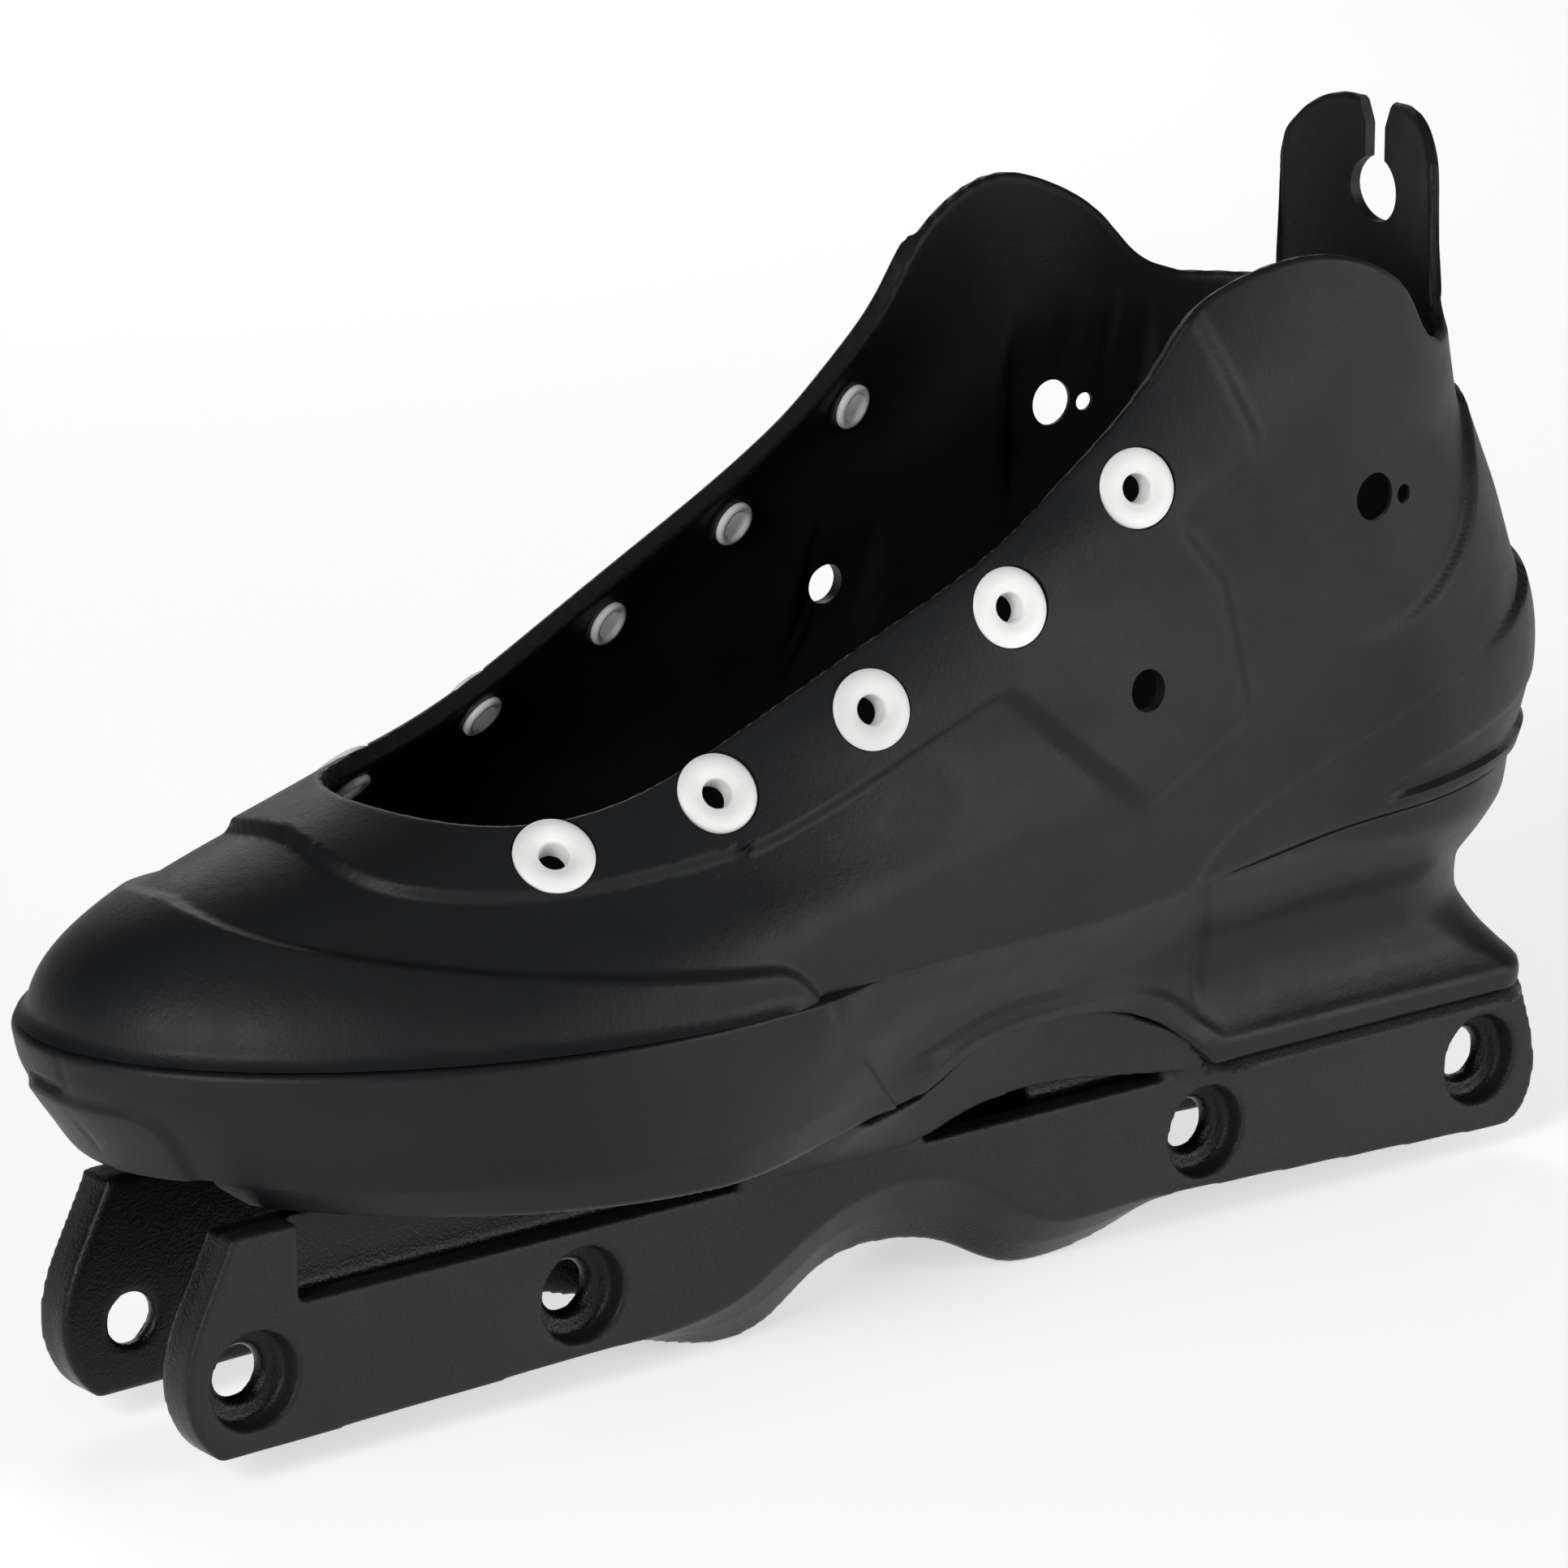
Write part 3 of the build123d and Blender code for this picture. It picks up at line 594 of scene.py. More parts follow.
def rim_path():
    """Rim of one side as (turn, z): throat, ear, collar and half of the heel tab."""
    front = cubic_line(RIM_FRONT)
    front = front[front[:, 0] > upper_form.level(front[:, 1])[0]]
    turns = upper_form.turn(front[:, 0], front[:, 1])
    start = [(0.0, front[0, 1])]
    collar_end = back_turn(TAB_HALF + TAB_FILLET, COLLAR_HEIGHT)
    collar = [(t, COLLAR_HEIGHT) for t in np.linspace(turns[-1], collar_end, 40)[1:]]
    corner = np.linspace(0, math.pi / 2, 14)[1:]
    fillet = [(TAB_HALF + TAB_FILLET * (1 - math.sin(a)), COLLAR_HEIGHT + TAB_FILLET * (1 - math.cos(a)))
              for a in corner]
    edge_heights = np.linspace(COLLAR_HEIGHT + TAB_FILLET, TAB_SHOULDER[0][1], 16)[1:]
    upright_edge = [(TAB_HALF, z) for z in edge_heights]
    tab = fillet + upright_edge + list(cubic_line(TAB_SHOULDER)[1:]) + [(y, TAB_TOP) for y in (6, 3, 0)]
    tab_turns = [(back_turn(y, z), z) for y, z in tab]
    return np.array(start + list(zip(turns, front[:, 1])) + collar + tab_turns, float)


def rim_in_space(path):
    return upper_form.points(path[:, 0], path[:, 1])


def columns_of(path, count):
    """Top ends along the rim, evenly by length, and bottom ends along the seam, as turns."""
    places = rim_in_space(path)
    lengths = np.concatenate([[0], np.cumsum(np.linalg.norm(np.diff(places, axis=0), axis=1))])
    even = np.linspace(0, lengths[-1], count)
    top = np.stack([np.interp(even, lengths, path[:, 0]), np.interp(even, lengths, path[:, 1])], 1)
    fine = np.linspace(0, math.pi, 1500)
    seam = upper_form.points(fine, settle(upper_form, fine, seam_height, SEAM_GUESS))
    run = np.concatenate([[0], np.cumsum(np.linalg.norm(np.diff(seam, axis=0), axis=1))])
    bottom = np.interp(np.linspace(0, run[-1], count), run, fine)
    return top, bottom


COLUMNS, UPPER_ROWS = 420, 96
SKIN_OVER_CHORD = 1.08      # the bulging skin is this much longer than a straight line to the seam
FEATURE_ROWS = (0.0, 0.18, 0.4, 0.7, 1.05, 1.5, 2.1, 2.9)


def upper_grid(rows):
    """Turn and height of each grid point of one side, rows from the rim down to the seam."""
    path = rim_path()
    top, bottom_turn = columns_of(path, COLUMNS)
    seam_z = settle(upper_form, bottom_turn, seam_height, SEAM_GUESS)
    seam_place = upper_form.points(bottom_turn, seam_z)
    length = np.linalg.norm(upper_form.points(top[:, 0], top[:, 1]) - seam_place, axis=1) * SKIN_OVER_CHORD
    near = np.array(FEATURE_ROWS)[:, None] / length[None, :]
    rest = np.linspace(0, 1, rows - len(FEATURE_ROWS) + 1)[1:, None]
    share = np.concatenate([near, near[-1] + (1 - near[-1]) * rest], 0)
    turn = top[None, :, 0] + (bottom_turn - top[:, 0])[None, :] * share
    height = top[None, :, 1] + (seam_z - top[:, 1])[None, :] * share
    return path, turn, height


RAND_LINE = ((0.0, 71.2), (0.173, 70.3), (0.376, 68.4), (0.624, 65.6), (0.885, 62.2), (1.113, 59.0),
             (1.215, 57.6))
RAND_CORNER = ((1.215, 57.6), (1.262, 56.5), (1.295, 54.0), (1.322, 50.4), (1.345, 46.0))
STAY_LINE = ((0.0, 78.4), (0.145, 77.8), (0.385, 75.6), (0.549, 73.8), (0.705, 72.7), (0.83, 72.4),
             (0.93, 73.1), (1.02, 74.4), (1.06, 75.2))
STAY_SIDE = ((-44.6, 75.2), (-40.5, 76.2), (-34.2, 78.0), (-24.5, 81.1), (-14.9, 84.7), (-5.6, 88.5),
             (1.5, 91.3))
KITE = ((1.5, 91.3), (4.3, 91.7), (7.5, 89.6), (29.4, 70.2), (31.5, 69.2), (33.6, 69.6), (52.6, 78.8),
        (53.9, 81.2), (48.8, 102.8), (40.6, 111.8), (40.6, 114.2), (49.6, 119.4), (54.2, 121.6),
        (54.8, 126.0), (50.2, 136.0), (45.5, 146.5))
ANKLE_LINE = ((128.0, 124.0), (113.0, 115.6), (107.5, 106.0), (100.6, 97.7), (92.0, 91.6),
              (83.7, 88.6), (72.0, 88.0))
COUNTER_LINE = ((42.6, 48.0), (44.6, 52.6), (48.0, 56.6), (57.4, 61.9), (83.6, 71.0), (106.0, 80.4),
                (122.6, 86.4), (136.0, 90.5), (139.0, 91.4))
WEDGE_TOP = ((139.6, 74.6), (122.0, 70.6), (103.1, 66.3), (91.5, 62.6), (87.2, 60.2))
WEDGE_LOW = ((87.2, 58.6), (101.5, 59.4), (118.0, 61.2), (132.0, 63.4), (139.0, 64.2))


SKIN_BASE = -1.35      # the plain skin lies this far below the smooth form
RAND_LIFT, PANEL_LIFT, ANKLE_LIFT = 1.45, 1.45, 1.5
RAND_STEP, ANKLE_STEP, COUNTER_STEP = 2.0, 1.7, 1.3
CUFF_RECESS = (70.5, 100.0, 100.5, 122.5)      # left, right, low and high in the side view
STRAP_RECESS = (26.0, 41.5, 79.0, 95.0)
CUFF_RECESS_DEPTH, STRAP_RECESS_DEPTH, RECESS_STEP = 1.5, 1.4, 1.8
FAR = 400.0


def upper_relief(places, turn, z, rim_distance):
    """How far the moulded skin stands off the smooth form, on either side."""
    x = places[..., 0]
    rand = SkinLine(upper_form, RAND_LINE, turned=True)
    corner = SkinLine(upper_form, RAND_CORNER, turned=True)
    rand_outline = [(-1, 71.2)] + rand.outline() + corner.outline() + [(1.345, 20), (-1, 20)]
    rand_reach = np.minimum(rand.distance(places), corner.distance(places))
    in_rand = np.where(inside(turn, z, rand_outline), 1.0, -1.0) * rand_reach

    stay = SkinLine(upper_form, STAY_LINE, turned=True)
    stay_side = SkinLine(upper_form, STAY_SIDE)
    kite = SkinLine(upper_form, KITE, curved=False)
    panel_outline = (stay.outline() + stay_side.outline() + kite.outline()
                     + [(kite.turn[-1], FAR), (-1, FAR), (-1, 78.4)])
    panel_reach = np.minimum(stay.distance(places), stay_side.distance(places))
    panel_reach = np.minimum(panel_reach, kite.distance(places))
    in_panel = np.where(inside(turn, z, panel_outline), 1.0, -1.0) * panel_reach

    ankle = SkinLine(upper_form, ANKLE_LINE)
    below_ankle = signed(ankle, places, turn, z, [(ankle.turn[-1], 0), (4, 0), (4, 124)])
    ankle_strength = smooth((x - 74) / 30)

    counter = SkinLine(upper_form, COUNTER_LINE)
    in_counter = signed(counter, places, turn, z, [(4, 91.4), (4, 0), (counter.turn[0], 0)])
    counter_lift = -0.5 + 1.9 * smooth((x - 88) / 42)

    wedge_top, wedge_low = SkinLine(upper_form, WEDGE_TOP), SkinLine(upper_form, WEDGE_LOW)
    wedge_outline = wedge_top.outline() + wedge_low.outline() + [(4, 64.2), (4, 74.6)]
    in_wedge = inside(turn, z, wedge_outline)
    top_reach, low_reach = wedge_top.distance(places), wedge_low.distance(places)
    wedge_share = top_reach / np.maximum(top_reach + low_reach, 1e-6)
    wedge = np.where(in_wedge, -(0.35 + 0.85 * wedge_share), 0.0)
    wedge *= np.where(in_wedge, np.minimum(ledge(low_reach - 0.45, 0.9), ledge(top_reach - 0.45, 0.9)), 1.0)

    panel_width = 1.6 + 1.8 * smooth((x - 32) / 16)
    rand_lift = RAND_LIFT * ledge(in_rand, RAND_STEP)
    panel_lift = PANEL_LIFT * ledge(in_panel + 0.3, panel_width)
    ankle_lift = ANKLE_LIFT * ankle_strength * ledge(below_ankle, ANKLE_STEP)
    counter_step = counter_lift * ledge(in_counter, COUNTER_STEP) - 0.3 * np.exp(-(in_counter / 0.6) ** 2)
    strip = np.where(z < 66, -0.9 * smooth((x - 92) / 40) * smooth((63.5 - z) / 8), 0.0)
    relief = SKIN_BASE + rand_lift + panel_lift + ankle_lift + counter_step * (in_counter > -2)
    relief = relief + wedge + strip
    above = z - seam_height(x)
    fused = 1 - smooth((x + 48) / 12)
    seam_roll = (1 - fused) * rounded_edge(np.abs(above), 0.6)
    fillet = fused * 1.3 * np.clip(1 - above / 2.6, 0, 1) ** 2
    return relief - rounded_edge(rim_distance, RIM_ROUND) - seam_roll + fillet


def box_reach(x, z, left, right, low, high, corner=2.5):
    """How far inside a rounded rectangle of the side view each place lies."""
    from_side = (right - left) / 2 - np.abs(x - (left + right) / 2)
    from_end = (high - low) / 2 - np.abs(z - (low + high) / 2)
    cut_corner = corner - np.hypot(np.maximum(0, corner - from_side), np.maximum(0, corner - from_end))
    return np.where((from_side < corner) & (from_end < corner), cut_corner, np.minimum(from_side, from_end))


def inner_relief(places):
    """Recesses in the inner face, round the cuff and strap holes."""
    x, z = places[..., 0], places[..., 2]
    cuff = box_reach(x, z, *CUFF_RECESS)
    strap = box_reach(x, z, *STRAP_RECESS)
    ridge = np.exp(-((z - 125.2) / 0.9) ** 2) * smooth((x - 68) / 5) * smooth((102 - x) / 5)
    recesses = CUFF_RECESS_DEPTH * ledge(cuff, RECESS_STEP) + STRAP_RECESS_DEPTH * ledge(strap, RECESS_STEP)
    return recesses - 0.6 * ridge


def upper_shell():
    """The upper's outer and inner skins on both sides, with its holes, seats and keyhole cut."""
    path, turn, z = upper_grid(UPPER_ROWS)
    rim_tree = tree_of(along(rim_in_space(path), np.linspace(0, 1, 900)))
    lateral = upper_form.points(turn, z)
    rim_distance = tree_distance(rim_tree, lateral)
    relief = upper_relief(lateral, turn, z, rim_distance)
    last_row = turn.shape[0] - 1
    inner_rows = np.concatenate([np.arange(0, 8, 2), np.arange(9, last_row, 5), [last_row]])
    vertices, faces, slots, start = [], [], [], 0
    for side in (OUTER, INNER):
        skin = upper_form.points(turn, z, side)
        normals = upper_form.normals(turn, z, side)
        normals[:, 0] = normals[:, 0] * (1, 0, 1)
        normals[:, -1] = normals[:, -1] * (1, 0, 1)
        normals /= np.linalg.norm(normals, axis=-1, keepdims=True)
        outside = skin + normals * relief[..., None]
        within = skin[inner_rows]
        depth = WALL - inner_relief(within) - rounded_edge(rim_distance[inner_rows], RIM_ROUND)
        inside_face = within - normals[inner_rows] * depth[..., None]
        rows, columns = turn.shape
        flip = side == INNER
        vertices += [outside.reshape(-1, 3), inside_face.reshape(-1, 3)]
        outer_faces = grid_faces(rows, columns, start, flip)
        inner_start = start + rows * columns
        inner_faces = grid_faces(len(inner_rows), columns, inner_start, not flip)
        edge = np.arange(columns - 1)
        rim = np.stack([start + edge, inner_start + edge, inner_start + edge + 1, start + edge + 1], 1)
        low = start + (rows - 1) * columns
        low_inner = inner_start + (len(inner_rows) - 1) * columns
        foot = np.stack([low + edge, low + edge + 1, low_inner + edge + 1, low_inner + edge], 1)
        if flip:
            rim, foot = rim[:, ::-1], foot[:, ::-1]
        faces += [outer_faces, inner_faces, rim, foot]
        slots += [np.zeros(len(outer_faces)), np.ones(len(inner_faces)), np.zeros(len(rim) + len(foot))]
        start = inner_start + len(inner_rows) * columns
    piece = mesh_of_grids("shell_upper", vertices, faces, slots)
    prisms = []
    for x, height, radius in (CUFF_HOLE, PIN_HOLE, STRAP_HOLE):
        for low, high in HOLE_CUTS:
            prisms.append(prism(circle(radius, (x, height)), low, high, across))
    for side in (OUTER, INNER):
        for number in range(1, 6):
            mount = mounts[f"lace_eyelet_{side_names[side]}_{number}"]
            place = along_axis(from_row(mount["pos_m"]), mount["axis"])
            half = mount["dims"]["length_mm"] / 2
            rings = ((WASHER_SEAT, -EYELET_CUT), (WASHER_SEAT, -half), (EYELET_HOLE, -half),
                     (EYELET_HOLE, half), (FLANGE_SEAT, half), (FLANGE_SEAT, EYELET_CUT))
            prisms.append(lathe(rings, place))
    half, mouth = KEY_SLOT / 2, KEY_MOUTH / 2
    gap = math.asin(half / KEYHOLE_RADIUS)
    arc = np.linspace(math.pi / 2 + gap, 2.5 * math.pi - gap, 60)
    keyhole = [(KEYHOLE_RADIUS * math.cos(a), KEYHOLE_HEIGHT + KEYHOLE_RADIUS * math.sin(a)) for a in arc]
    edge = [(half, KEY_FLARE), (mouth, KEY_MOUTH_HEIGHT), (mouth, KEY_CUT_TOP)]
    keyhole += edge + [(-y, z) for y, z in reversed(edge)]
    prisms.append(prism(keyhole, KEY_CUT_FORE, KEY_CUT_AFT, fore_and_aft))
    cut(piece, cutter("upper_cutter", prisms))
    piece.data.materials.clear()
    piece.data.materials.append(upper_skin)
    piece.data.materials.append(inner_skin)
    sharpen(piece)
    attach(piece, "root")
    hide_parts("upper_shell")


upper_shell()

# ---- sole ----
ARCH = ((-14, 24.0), (-3, 25.2), (8, 29.3), (22, 31.0), (38, 28.6), (52, 22.4), (63, 13.5))
DECK_HEIGHT, HEEL_PLATE_HEIGHT = 24.0, 13.5
GRIND_END = ((-37.0, 50.0), (-35.6, 47.5), (-28.1, 39.2), (-17.2, 29.2), (-10.2, 21.0))
CREASE = ((46.5, 52.0), (50.0, 45.5), (59.7, 33.2), (60.3, 20.0))
FLOOR_TOE, FLOOR_HEEL = (-60.0, 37.0), (60.0, 47.0)
WELL_RADIUS, WELL_TOP, WELL_HALF = 31.0, 33.0, 13.5
INNER_AXLE, OUTER_AXLE = 65.0, 127.5
BOLT_STATIONS, BOLT_HOLE, BOLT_HEAD, BOLT_SEAT = (-14.0, 18.0), 3.3, 5.8, 36.5
TOE_PANEL_MIDDLE, TOE_PANEL_HALF, TOE_PANEL_TOP = 4.6, 15.4, 42.6
BAND_TOP = 30.2
BOLT_CUT_LOW, BOLT_CUT_HIGH = 5, 62
PANEL_CORNER, TOE_FEATURES_X = 5, -100
TEXTURE_LOW, TEXTURE_TOP = BAND_TOP + 0.4, 48.5
SOLE_COLUMNS, SOLE_ROWS, SOLE_INNER_ROWS = 340, 64, 14
EDGE_ROWS = (0, 0.25, 0.5, 0.8, 1.15, 1.6, 2.2, 3.0)      # mm from the edge
FLOOR_OUTLINE_HEIGHT = 45.0
UNDERSIDE_GUESS = 20      # height from which the underside is settled
grind_line = SkinLine(sole_form, GRIND_END)


def sole_bottom(x):
    line = cubic_line(ARCH)
    return np.where(x < ARCH[0][0], DECK_HEIGHT, np.where(x > ARCH[-1][0], HEEL_PLATE_HEIGHT,
                                                          np.interp(x, line[:, 0], line[:, 1])))


def sole_relief(places, z, bottom_tree):
    """How far the sole's skin stands off the smooth form."""
    x, y = places[..., 0], places[..., 1]
    turn = sole_form.turn(x, z)
    ridge = 1.3 * (1 - smooth((x + 110) / 65)) * smooth((z - 34) / 12)
    band = -0.26 * np.maximum(0.0, BAND_TOP - z) * (1 - smooth((x + 34) / 24))
    mirrored = places.copy()
    mirrored[..., 1] = centre_line(x) - np.abs(y - centre_line(x))
    past_grind = signed(grind_line, mirrored, turn, z, [(9, 0), (9, 60)])
    behind = -0.75 * ledge(past_grind, 0.9) * np.exp(-np.maximum(past_grind, 0) / 30)
    under_span = smooth((x + 38) / 14) * (1 - smooth((x - 74) / 36))
    under = -1.9 * under_span * smooth((z - seam_height(x) + 16) / 13)
    crease = SkinLine(sole_form, CREASE)
    reach = crease.distance(mirrored)
    valley = -(0.7 * np.exp(-(reach / 1.3) ** 2) + 0.7 * np.exp(-(reach / 5.0) ** 2)) * smooth((z - 20) / 8)
    low_reach = tree_distance(bottom_tree, mirrored)
    on_arch = smooth((x + 20) / 16) * (1 - 0.75 * smooth((x - 46) / 16))
    lip = 1.9 * on_arch * smooth((6.4 - low_reach) / 3.0)
    plate = 0.35 * smooth((x - 56) / 8) * smooth((4.9 - low_reach) / 0.9)
    at_toe = x < TOE_FEATURES_X
    from_side, from_top = TOE_PANEL_HALF - np.abs(y - TOE_PANEL_MIDDLE), TOE_PANEL_TOP - z
    corner = np.hypot(np.maximum(0, PANEL_CORNER - from_side), np.maximum(0, PANEL_CORNER - from_top))
    panel_reach = np.where(corner > 0, PANEL_CORNER - corner, np.minimum(from_side, from_top))
    panel = 0.9 * ledge(panel_reach, 1.4) * at_toe
    parting = -0.3 * np.exp(-((y - TOE_PANEL_MIDDLE) / 0.35) ** 2) * at_toe
    slot_reach = np.hypot(np.maximum(0, np.abs(y - 10.0) - 3.2), z - 43.9)
    slot = -1.0 * (1 - smooth((slot_reach - 0.4) / 0.8)) * at_toe
    top_round = 0.7 + 0.8 * (1 - smooth((x + 105) / 60))
    top = np.clip(seam_height(x) - z, 0, None)
    fall = rounded_edge(top, top_round) + rounded_edge(low_reach, 1.1)
    return ridge + band + np.minimum(behind, under) + valley + lip + plate + panel + parting + slot - fall


def well_profile(end):
    """Side view of one pair of wheel wells."""
    inner_arc = np.linspace(math.pi, math.pi / 2, 24)
    outer_arc = np.linspace(math.pi / 2, 0.02, 24)
    points = [(INNER_AXLE + WELL_RADIUS * math.cos(a), WELL_RADIUS * math.sin(a)) for a in inner_arc]
    points += [(INNER_AXLE, WELL_TOP), (OUTER_AXLE, WELL_TOP)]
    points += [(OUTER_AXLE + WELL_RADIUS * math.cos(a), WELL_RADIUS * math.sin(a)) for a in outer_arc]
    points += [(OUTER_AXLE + WELL_RADIUS, -20), (INNER_AXLE - WELL_RADIUS, -20)]
    return [(end * x, z) for x, z in points]


def grind_end_at(heights):
    """x of the end of the textured plate at these heights."""
    order = np.argsort(grind_line.z)
    line_x = sole_form.x_of(grind_line.turn, grind_line.z)
    return np.interp(heights, grind_line.z[order], line_x[order])


def sole_base():
    """The sole's outer and inner skins, underside and footbed, with its wells and screw holes cut."""
    columns = SOLE_COLUMNS
    turn_fine = np.linspace(0, math.pi, 1200)
    seam_fine = sole_form.points(turn_fine, settle(sole_form, turn_fine, seam_height, SEAM_GUESS))
    lengths = np.concatenate([[0], np.cumsum(np.linalg.norm(np.diff(seam_fine, axis=0), axis=1))])
    turn = np.interp(np.linspace(0, lengths[-1], columns), lengths, turn_fine)
    top = settle(sole_form, turn, seam_height, SEAM_GUESS)
    low = settle(sole_form, turn, sole_bottom, UNDERSIDE_GUESS)
    dense = np.array(EDGE_ROWS)
    between_rows = SOLE_ROWS - 2 * len(dense) + 2
    height = (top - low)[None, :]
    start, finish = dense[:, None] / height, 1 - dense[::-1, None] / height
    between = start[-1] + (finish[0] - start[-1]) * np.linspace(0, 1, between_rows)[1:-1, None]
    share = np.concatenate([start, between, finish], 0)
    z = top[None, :] - height * share
    turns = np.repeat(turn[None, :], len(share), 0)
    bottom_tree = tree_of(along(sole_form.points(turn, low), np.linspace(0, 1, 900)))
    floor_x, floor_heights = zip(FLOOR_TOE, FLOOR_HEEL)
    floor_z = np.interp(sole_form.x_of(turn, FLOOR_OUTLINE_HEIGHT), floor_x, floor_heights)
    inner_share = np.linspace(0, 1, SOLE_INNER_ROWS)[:, None]
    inner_z = top[None, :] - (top - floor_z)[None, :] * inner_share
    inner_turns = np.repeat(turn[None, :], SOLE_INNER_ROWS, 0)
    vertices, faces, slots, start = [], [], [], 0
    ends = {}
    for side in (OUTER, INNER):
        skin = sole_form.points(turns, z, side)
        normals = sole_form.normals(turns, z, side)
        relief = sole_relief(skin, z, bottom_tree)
        outside = skin + normals * relief[..., None]
        within = sole_form.points(inner_turns, inner_z, side)
        inner_normals = sole_form.normals(inner_turns, inner_z, side)
        inside_face = within - inner_normals * WALL
        for grid in (outside, inside_face):
            grid[:, 0, 1] = centre_line(grid[:, 0, 0])
            grid[:, -1, 1] = 0
        vertices += [outside.reshape(-1, 3), inside_face.reshape(-1, 3)]
        inner_start = start + outside.shape[0] * columns
        flip = side == INNER
        outer_faces = grid_faces(outside.shape[0], columns, start, flip)
        centres = (outside[:-1, :-1] + outside[1:, 1:])[..., 0].ravel() / 2
        heights = (z[:-1, :-1] + z[1:, 1:]).ravel() / 2
        textured = (centres < grind_end_at(heights)) & (heights > TEXTURE_LOW) & (heights < TEXTURE_TOP)
        inner_faces = grid_faces(SOLE_INNER_ROWS, columns, inner_start, not flip)
        edge = np.arange(columns - 1)
        rim = np.stack([start + edge, inner_start + edge, inner_start + edge + 1, start + edge + 1], 1)
        rim = rim[:, ::-1] if flip else rim
        faces += [outer_faces, inner_faces, rim]
        slots += [np.where(textured, 2, 0), np.ones(len(inner_faces)), np.zeros(len(rim))]
        ends[side] = (start + (outside.shape[0] - 1) * columns, inner_start + (SOLE_INNER_ROWS - 1) * columns)
        start = inner_start + SOLE_INNER_ROWS * columns
    edge = np.arange(columns - 1)
    for which, reverse, slot in ((0, True, 0), (1, False, 1)):
        a, b = ends[OUTER][which] + edge, ends[INNER][which] + edge
        quads = np.stack([a, a + 1, b + 1, b], 1)
        faces.append(quads[:, ::-1] if reverse else quads)
        slots.append(np.full(len(quads), slot))
    piece = mesh_of_grids("shell_sole", vertices, faces, slots)
    prisms = [prism(well_profile(end), -WELL_HALF, WELL_HALF, across) for end in (-1, 1)]
    for x in BOLT_STATIONS:
        rings = ((BOLT_HOLE, BOLT_CUT_LOW), (BOLT_HOLE, BOLT_SEAT), (BOLT_HEAD, BOLT_SEAT),
                 (BOLT_HEAD, BOLT_CUT_HIGH))
        prisms.append(lathe(rings, upright_at(x)))
    cut(piece, cutter("sole_cutter", prisms))
    piece.data.materials.clear()
    for skin_material in (sole_skin, inner_skin, grind_skin):
        piece.data.materials.append(skin_material)
    sharpen(piece)
    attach(piece, "root")
    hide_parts("sole_base")


sole_base()

# ---- CAD nodes that stay, with their finishes ----
ROLL_START = 0.7
CAD_SHARP = 30
FINISH_OF = {"lace_grommet": white_enamel, "grommet_washer": washer_skin, "frame_bolt": zinc,
             "frame_insert": brass}
finishes = {"frame": frame_skin}
for name in frame["nodes"]:
    for prefix, finish in FINISH_OF.items():
        if name.startswith(prefix):
            finishes[name] = finish
for name, finish in finishes.items():
    mesh = frame["nodes"][name].data
    mesh.materials.clear()
    mesh.materials.append(finish)
    if name.startswith("lace_grommet"):
        # The rolled barrel end inside the shell gets a grey, glossier enamel.
        mesh.materials.append(grey_barrel_enamel)
        mount = mounts[name.replace("lace_grommet", "lace_eyelet")]
        axis, place = Vector(mount["axis"]), Vector(mount["pos_m"])
        roll = -(mount["dims"]["length_mm"] / 2 + ROLL_START) * MM
        indices = [int((polygon.center - place).dot(axis) < roll) for polygon in mesh.polygons]
        mesh.polygons.foreach_set("material_index", indices)
    mesh.polygons.foreach_set("use_smooth", np.ones(len(mesh.polygons), bool))
    mesh.set_sharp_from_angle(angle=math.radians(CAD_SHARP))


FRAME_VOXEL = 0.0007
RELAX, RELAX_PASSES, KEPT_SHARE = 0.5, 5, 0.45


def soften_frame():
    """Rounds the edges of the moulded frame."""
    cad_frame = frame["nodes"]["frame"]
    remesh = cad_frame.modifiers.new("remesh", "REMESH")
    remesh.mode = "VOXEL"
    remesh.voxel_size = FRAME_VOXEL
    remesh.use_smooth_shade = True
    relax = cad_frame.modifiers.new("relax", "SMOOTH")
    relax.factor, relax.iterations = RELAX, RELAX_PASSES
    thin = cad_frame.modifiers.new("thin", "DECIMATE")
    thin.decimate_type = "COLLAPSE"
    thin.ratio = KEPT_SHARE


soften_frame()

# ---- floor, light and camera ----
FLOOR_HALF, FLOOR_DROP = 3.0, 0.0002


def floor():
    corners = [(-FLOOR_HALF, -FLOOR_HALF, 0), (FLOOR_HALF, -FLOOR_HALF, 0), (FLOOR_HALF, FLOOR_HALF, 0),
               (-FLOOR_HALF, FLOOR_HALF, 0)]
    plane = make_mesh("studio_floor", corners, [(0, 1, 2, 3)])
    plane.location.z = cad_box[0].z - FLOOR_DROP
    material, _, surface = shader("floor_paper")
    surface.inputs["Base Color"].default_value = (0.8, 0.8, 0.8, 1)
    surface.inputs["Roughness"].default_value = 0.9
    surface.inputs["Specular IOR Level"].default_value = 0.0
    surface.inputs["Emission Color"].default_value = (1, 1, 1, 1)
    surface.inputs["Emission Strength"].default_value = 0.6
    plane.data.materials.append(material)


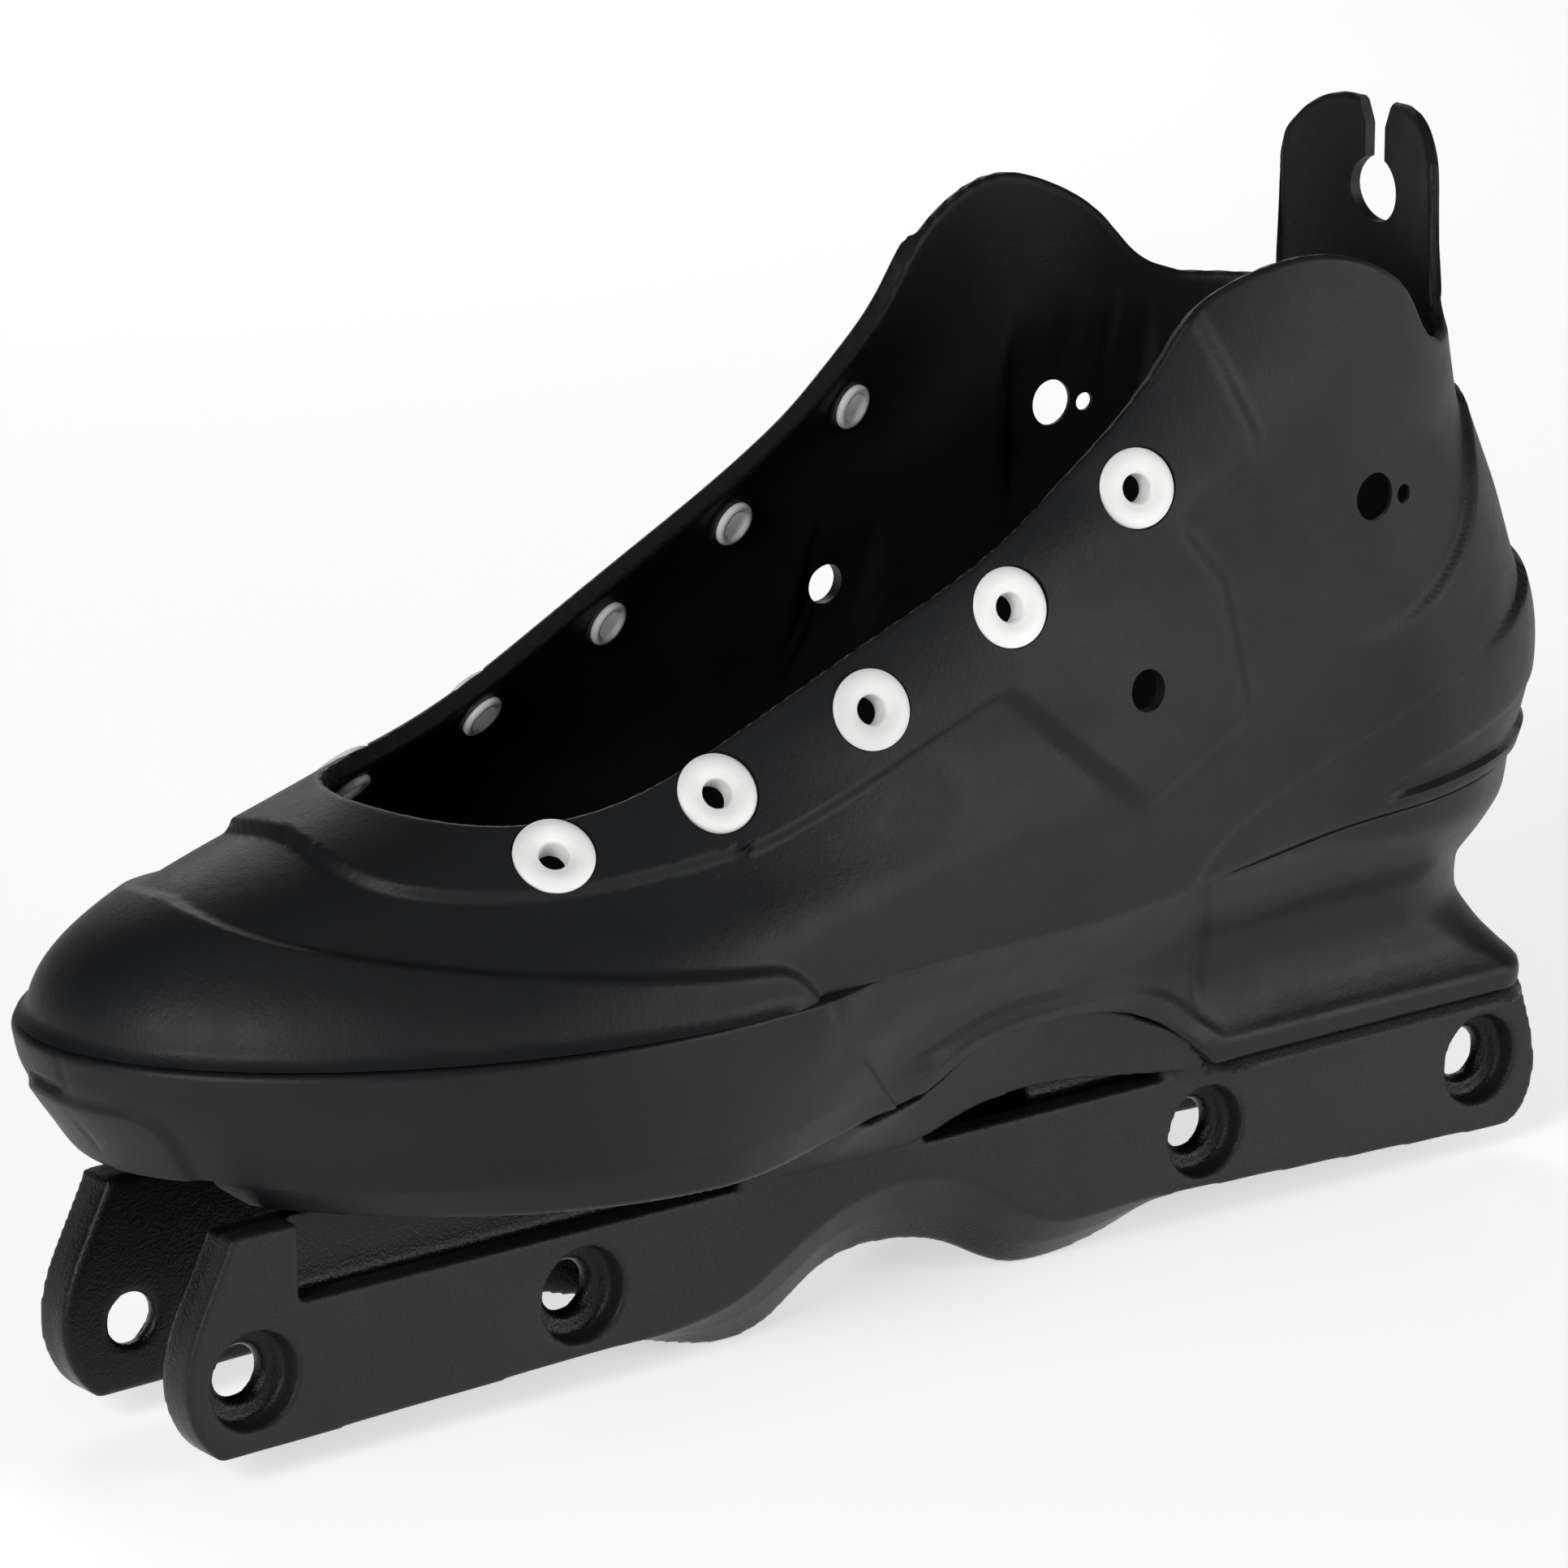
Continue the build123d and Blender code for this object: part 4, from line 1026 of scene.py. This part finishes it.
def softbox(name, place, target, size, power):
    light = bpy.data.lights.new(name, "AREA")
    light.shape = "RECTANGLE"
    light.size, light.size_y = size
    light.energy = power
    lamp = bpy.data.objects.new(name, light)
    bpy.context.scene.collection.objects.link(lamp)
    lamp.location = place
    lamp.rotation_mode = "QUATERNION"
    lamp.rotation_quaternion = (Vector(target) - Vector(place)).to_track_quat("-Z", "Y")


floor()
middle = (cad_box[0] + cad_box[1]) / 2
# Each softbox: name, place, width and height in metres, and watts.
SOFTBOXES = (
    ("key_left", (-1.3, -0.6, 0.7), (0.5, 0.6), 13),
    ("wall_right", (0.95, -1.3, 0.36), (1.1, 0.65), 11),
    ("top", (0.1, -0.2, 1.6), (1.2, 1.0), 1.5),
    ("back", (0.6, 1.3, 0.8), (0.8, 0.6), 5),
)
for name, place, size, power in SOFTBOXES:
    softbox(name, place, middle, size, power)

HORIZON_LIGHT, CEILING_LIGHT = 0.35, 0.03


def horizon_world():
    """Bright all round the horizon and dim overhead, like a white sweep under a dark ceiling."""
    made = bpy.data.worlds.new("studio")
    made.use_nodes = True
    tree = made.node_tree
    where = node(tree, "ShaderNodeTexCoord")
    split = node(tree, "ShaderNodeSeparateXYZ")
    tree.links.new(where.outputs["Generated"], split.inputs["Vector"])
    level = remap(tree, split.outputs["Z"], HORIZON_LIGHT, CEILING_LIGHT, 0.02, 0.5)
    tree.links.new(level, tree.nodes["Background"].inputs["Strength"])
    tree.nodes["Background"].inputs["Color"].default_value = (1, 1, 1, 1)
    return made


bpy.context.scene.world = horizon_world()
bpy.context.scene.view_settings.view_transform = "Standard"

CAMERA_PLACE = (-0.7289, -0.9345, 0.4350)
CAMERA_TURN, CAMERA_TILT = -37.69, 16.41
CAMERA_LENS, SENSOR = 174.08, 36.0
turn_angle, tilt_angle = math.radians(CAMERA_TURN), math.radians(CAMERA_TILT)
looking = Vector((-math.sin(turn_angle) * math.cos(tilt_angle), math.cos(turn_angle) * math.cos(tilt_angle),
                  -math.sin(tilt_angle)))
camera_data = bpy.data.cameras.new("camera")
camera_data.lens, camera_data.sensor_width = CAMERA_LENS, SENSOR
camera = bpy.data.objects.new("camera", camera_data)
bpy.context.scene.collection.objects.link(camera)
camera.location = CAMERA_PLACE
camera.rotation_mode = "QUATERNION"
camera.rotation_quaternion = looking.to_track_quat("-Z", "Y")
bpy.context.scene.camera = camera
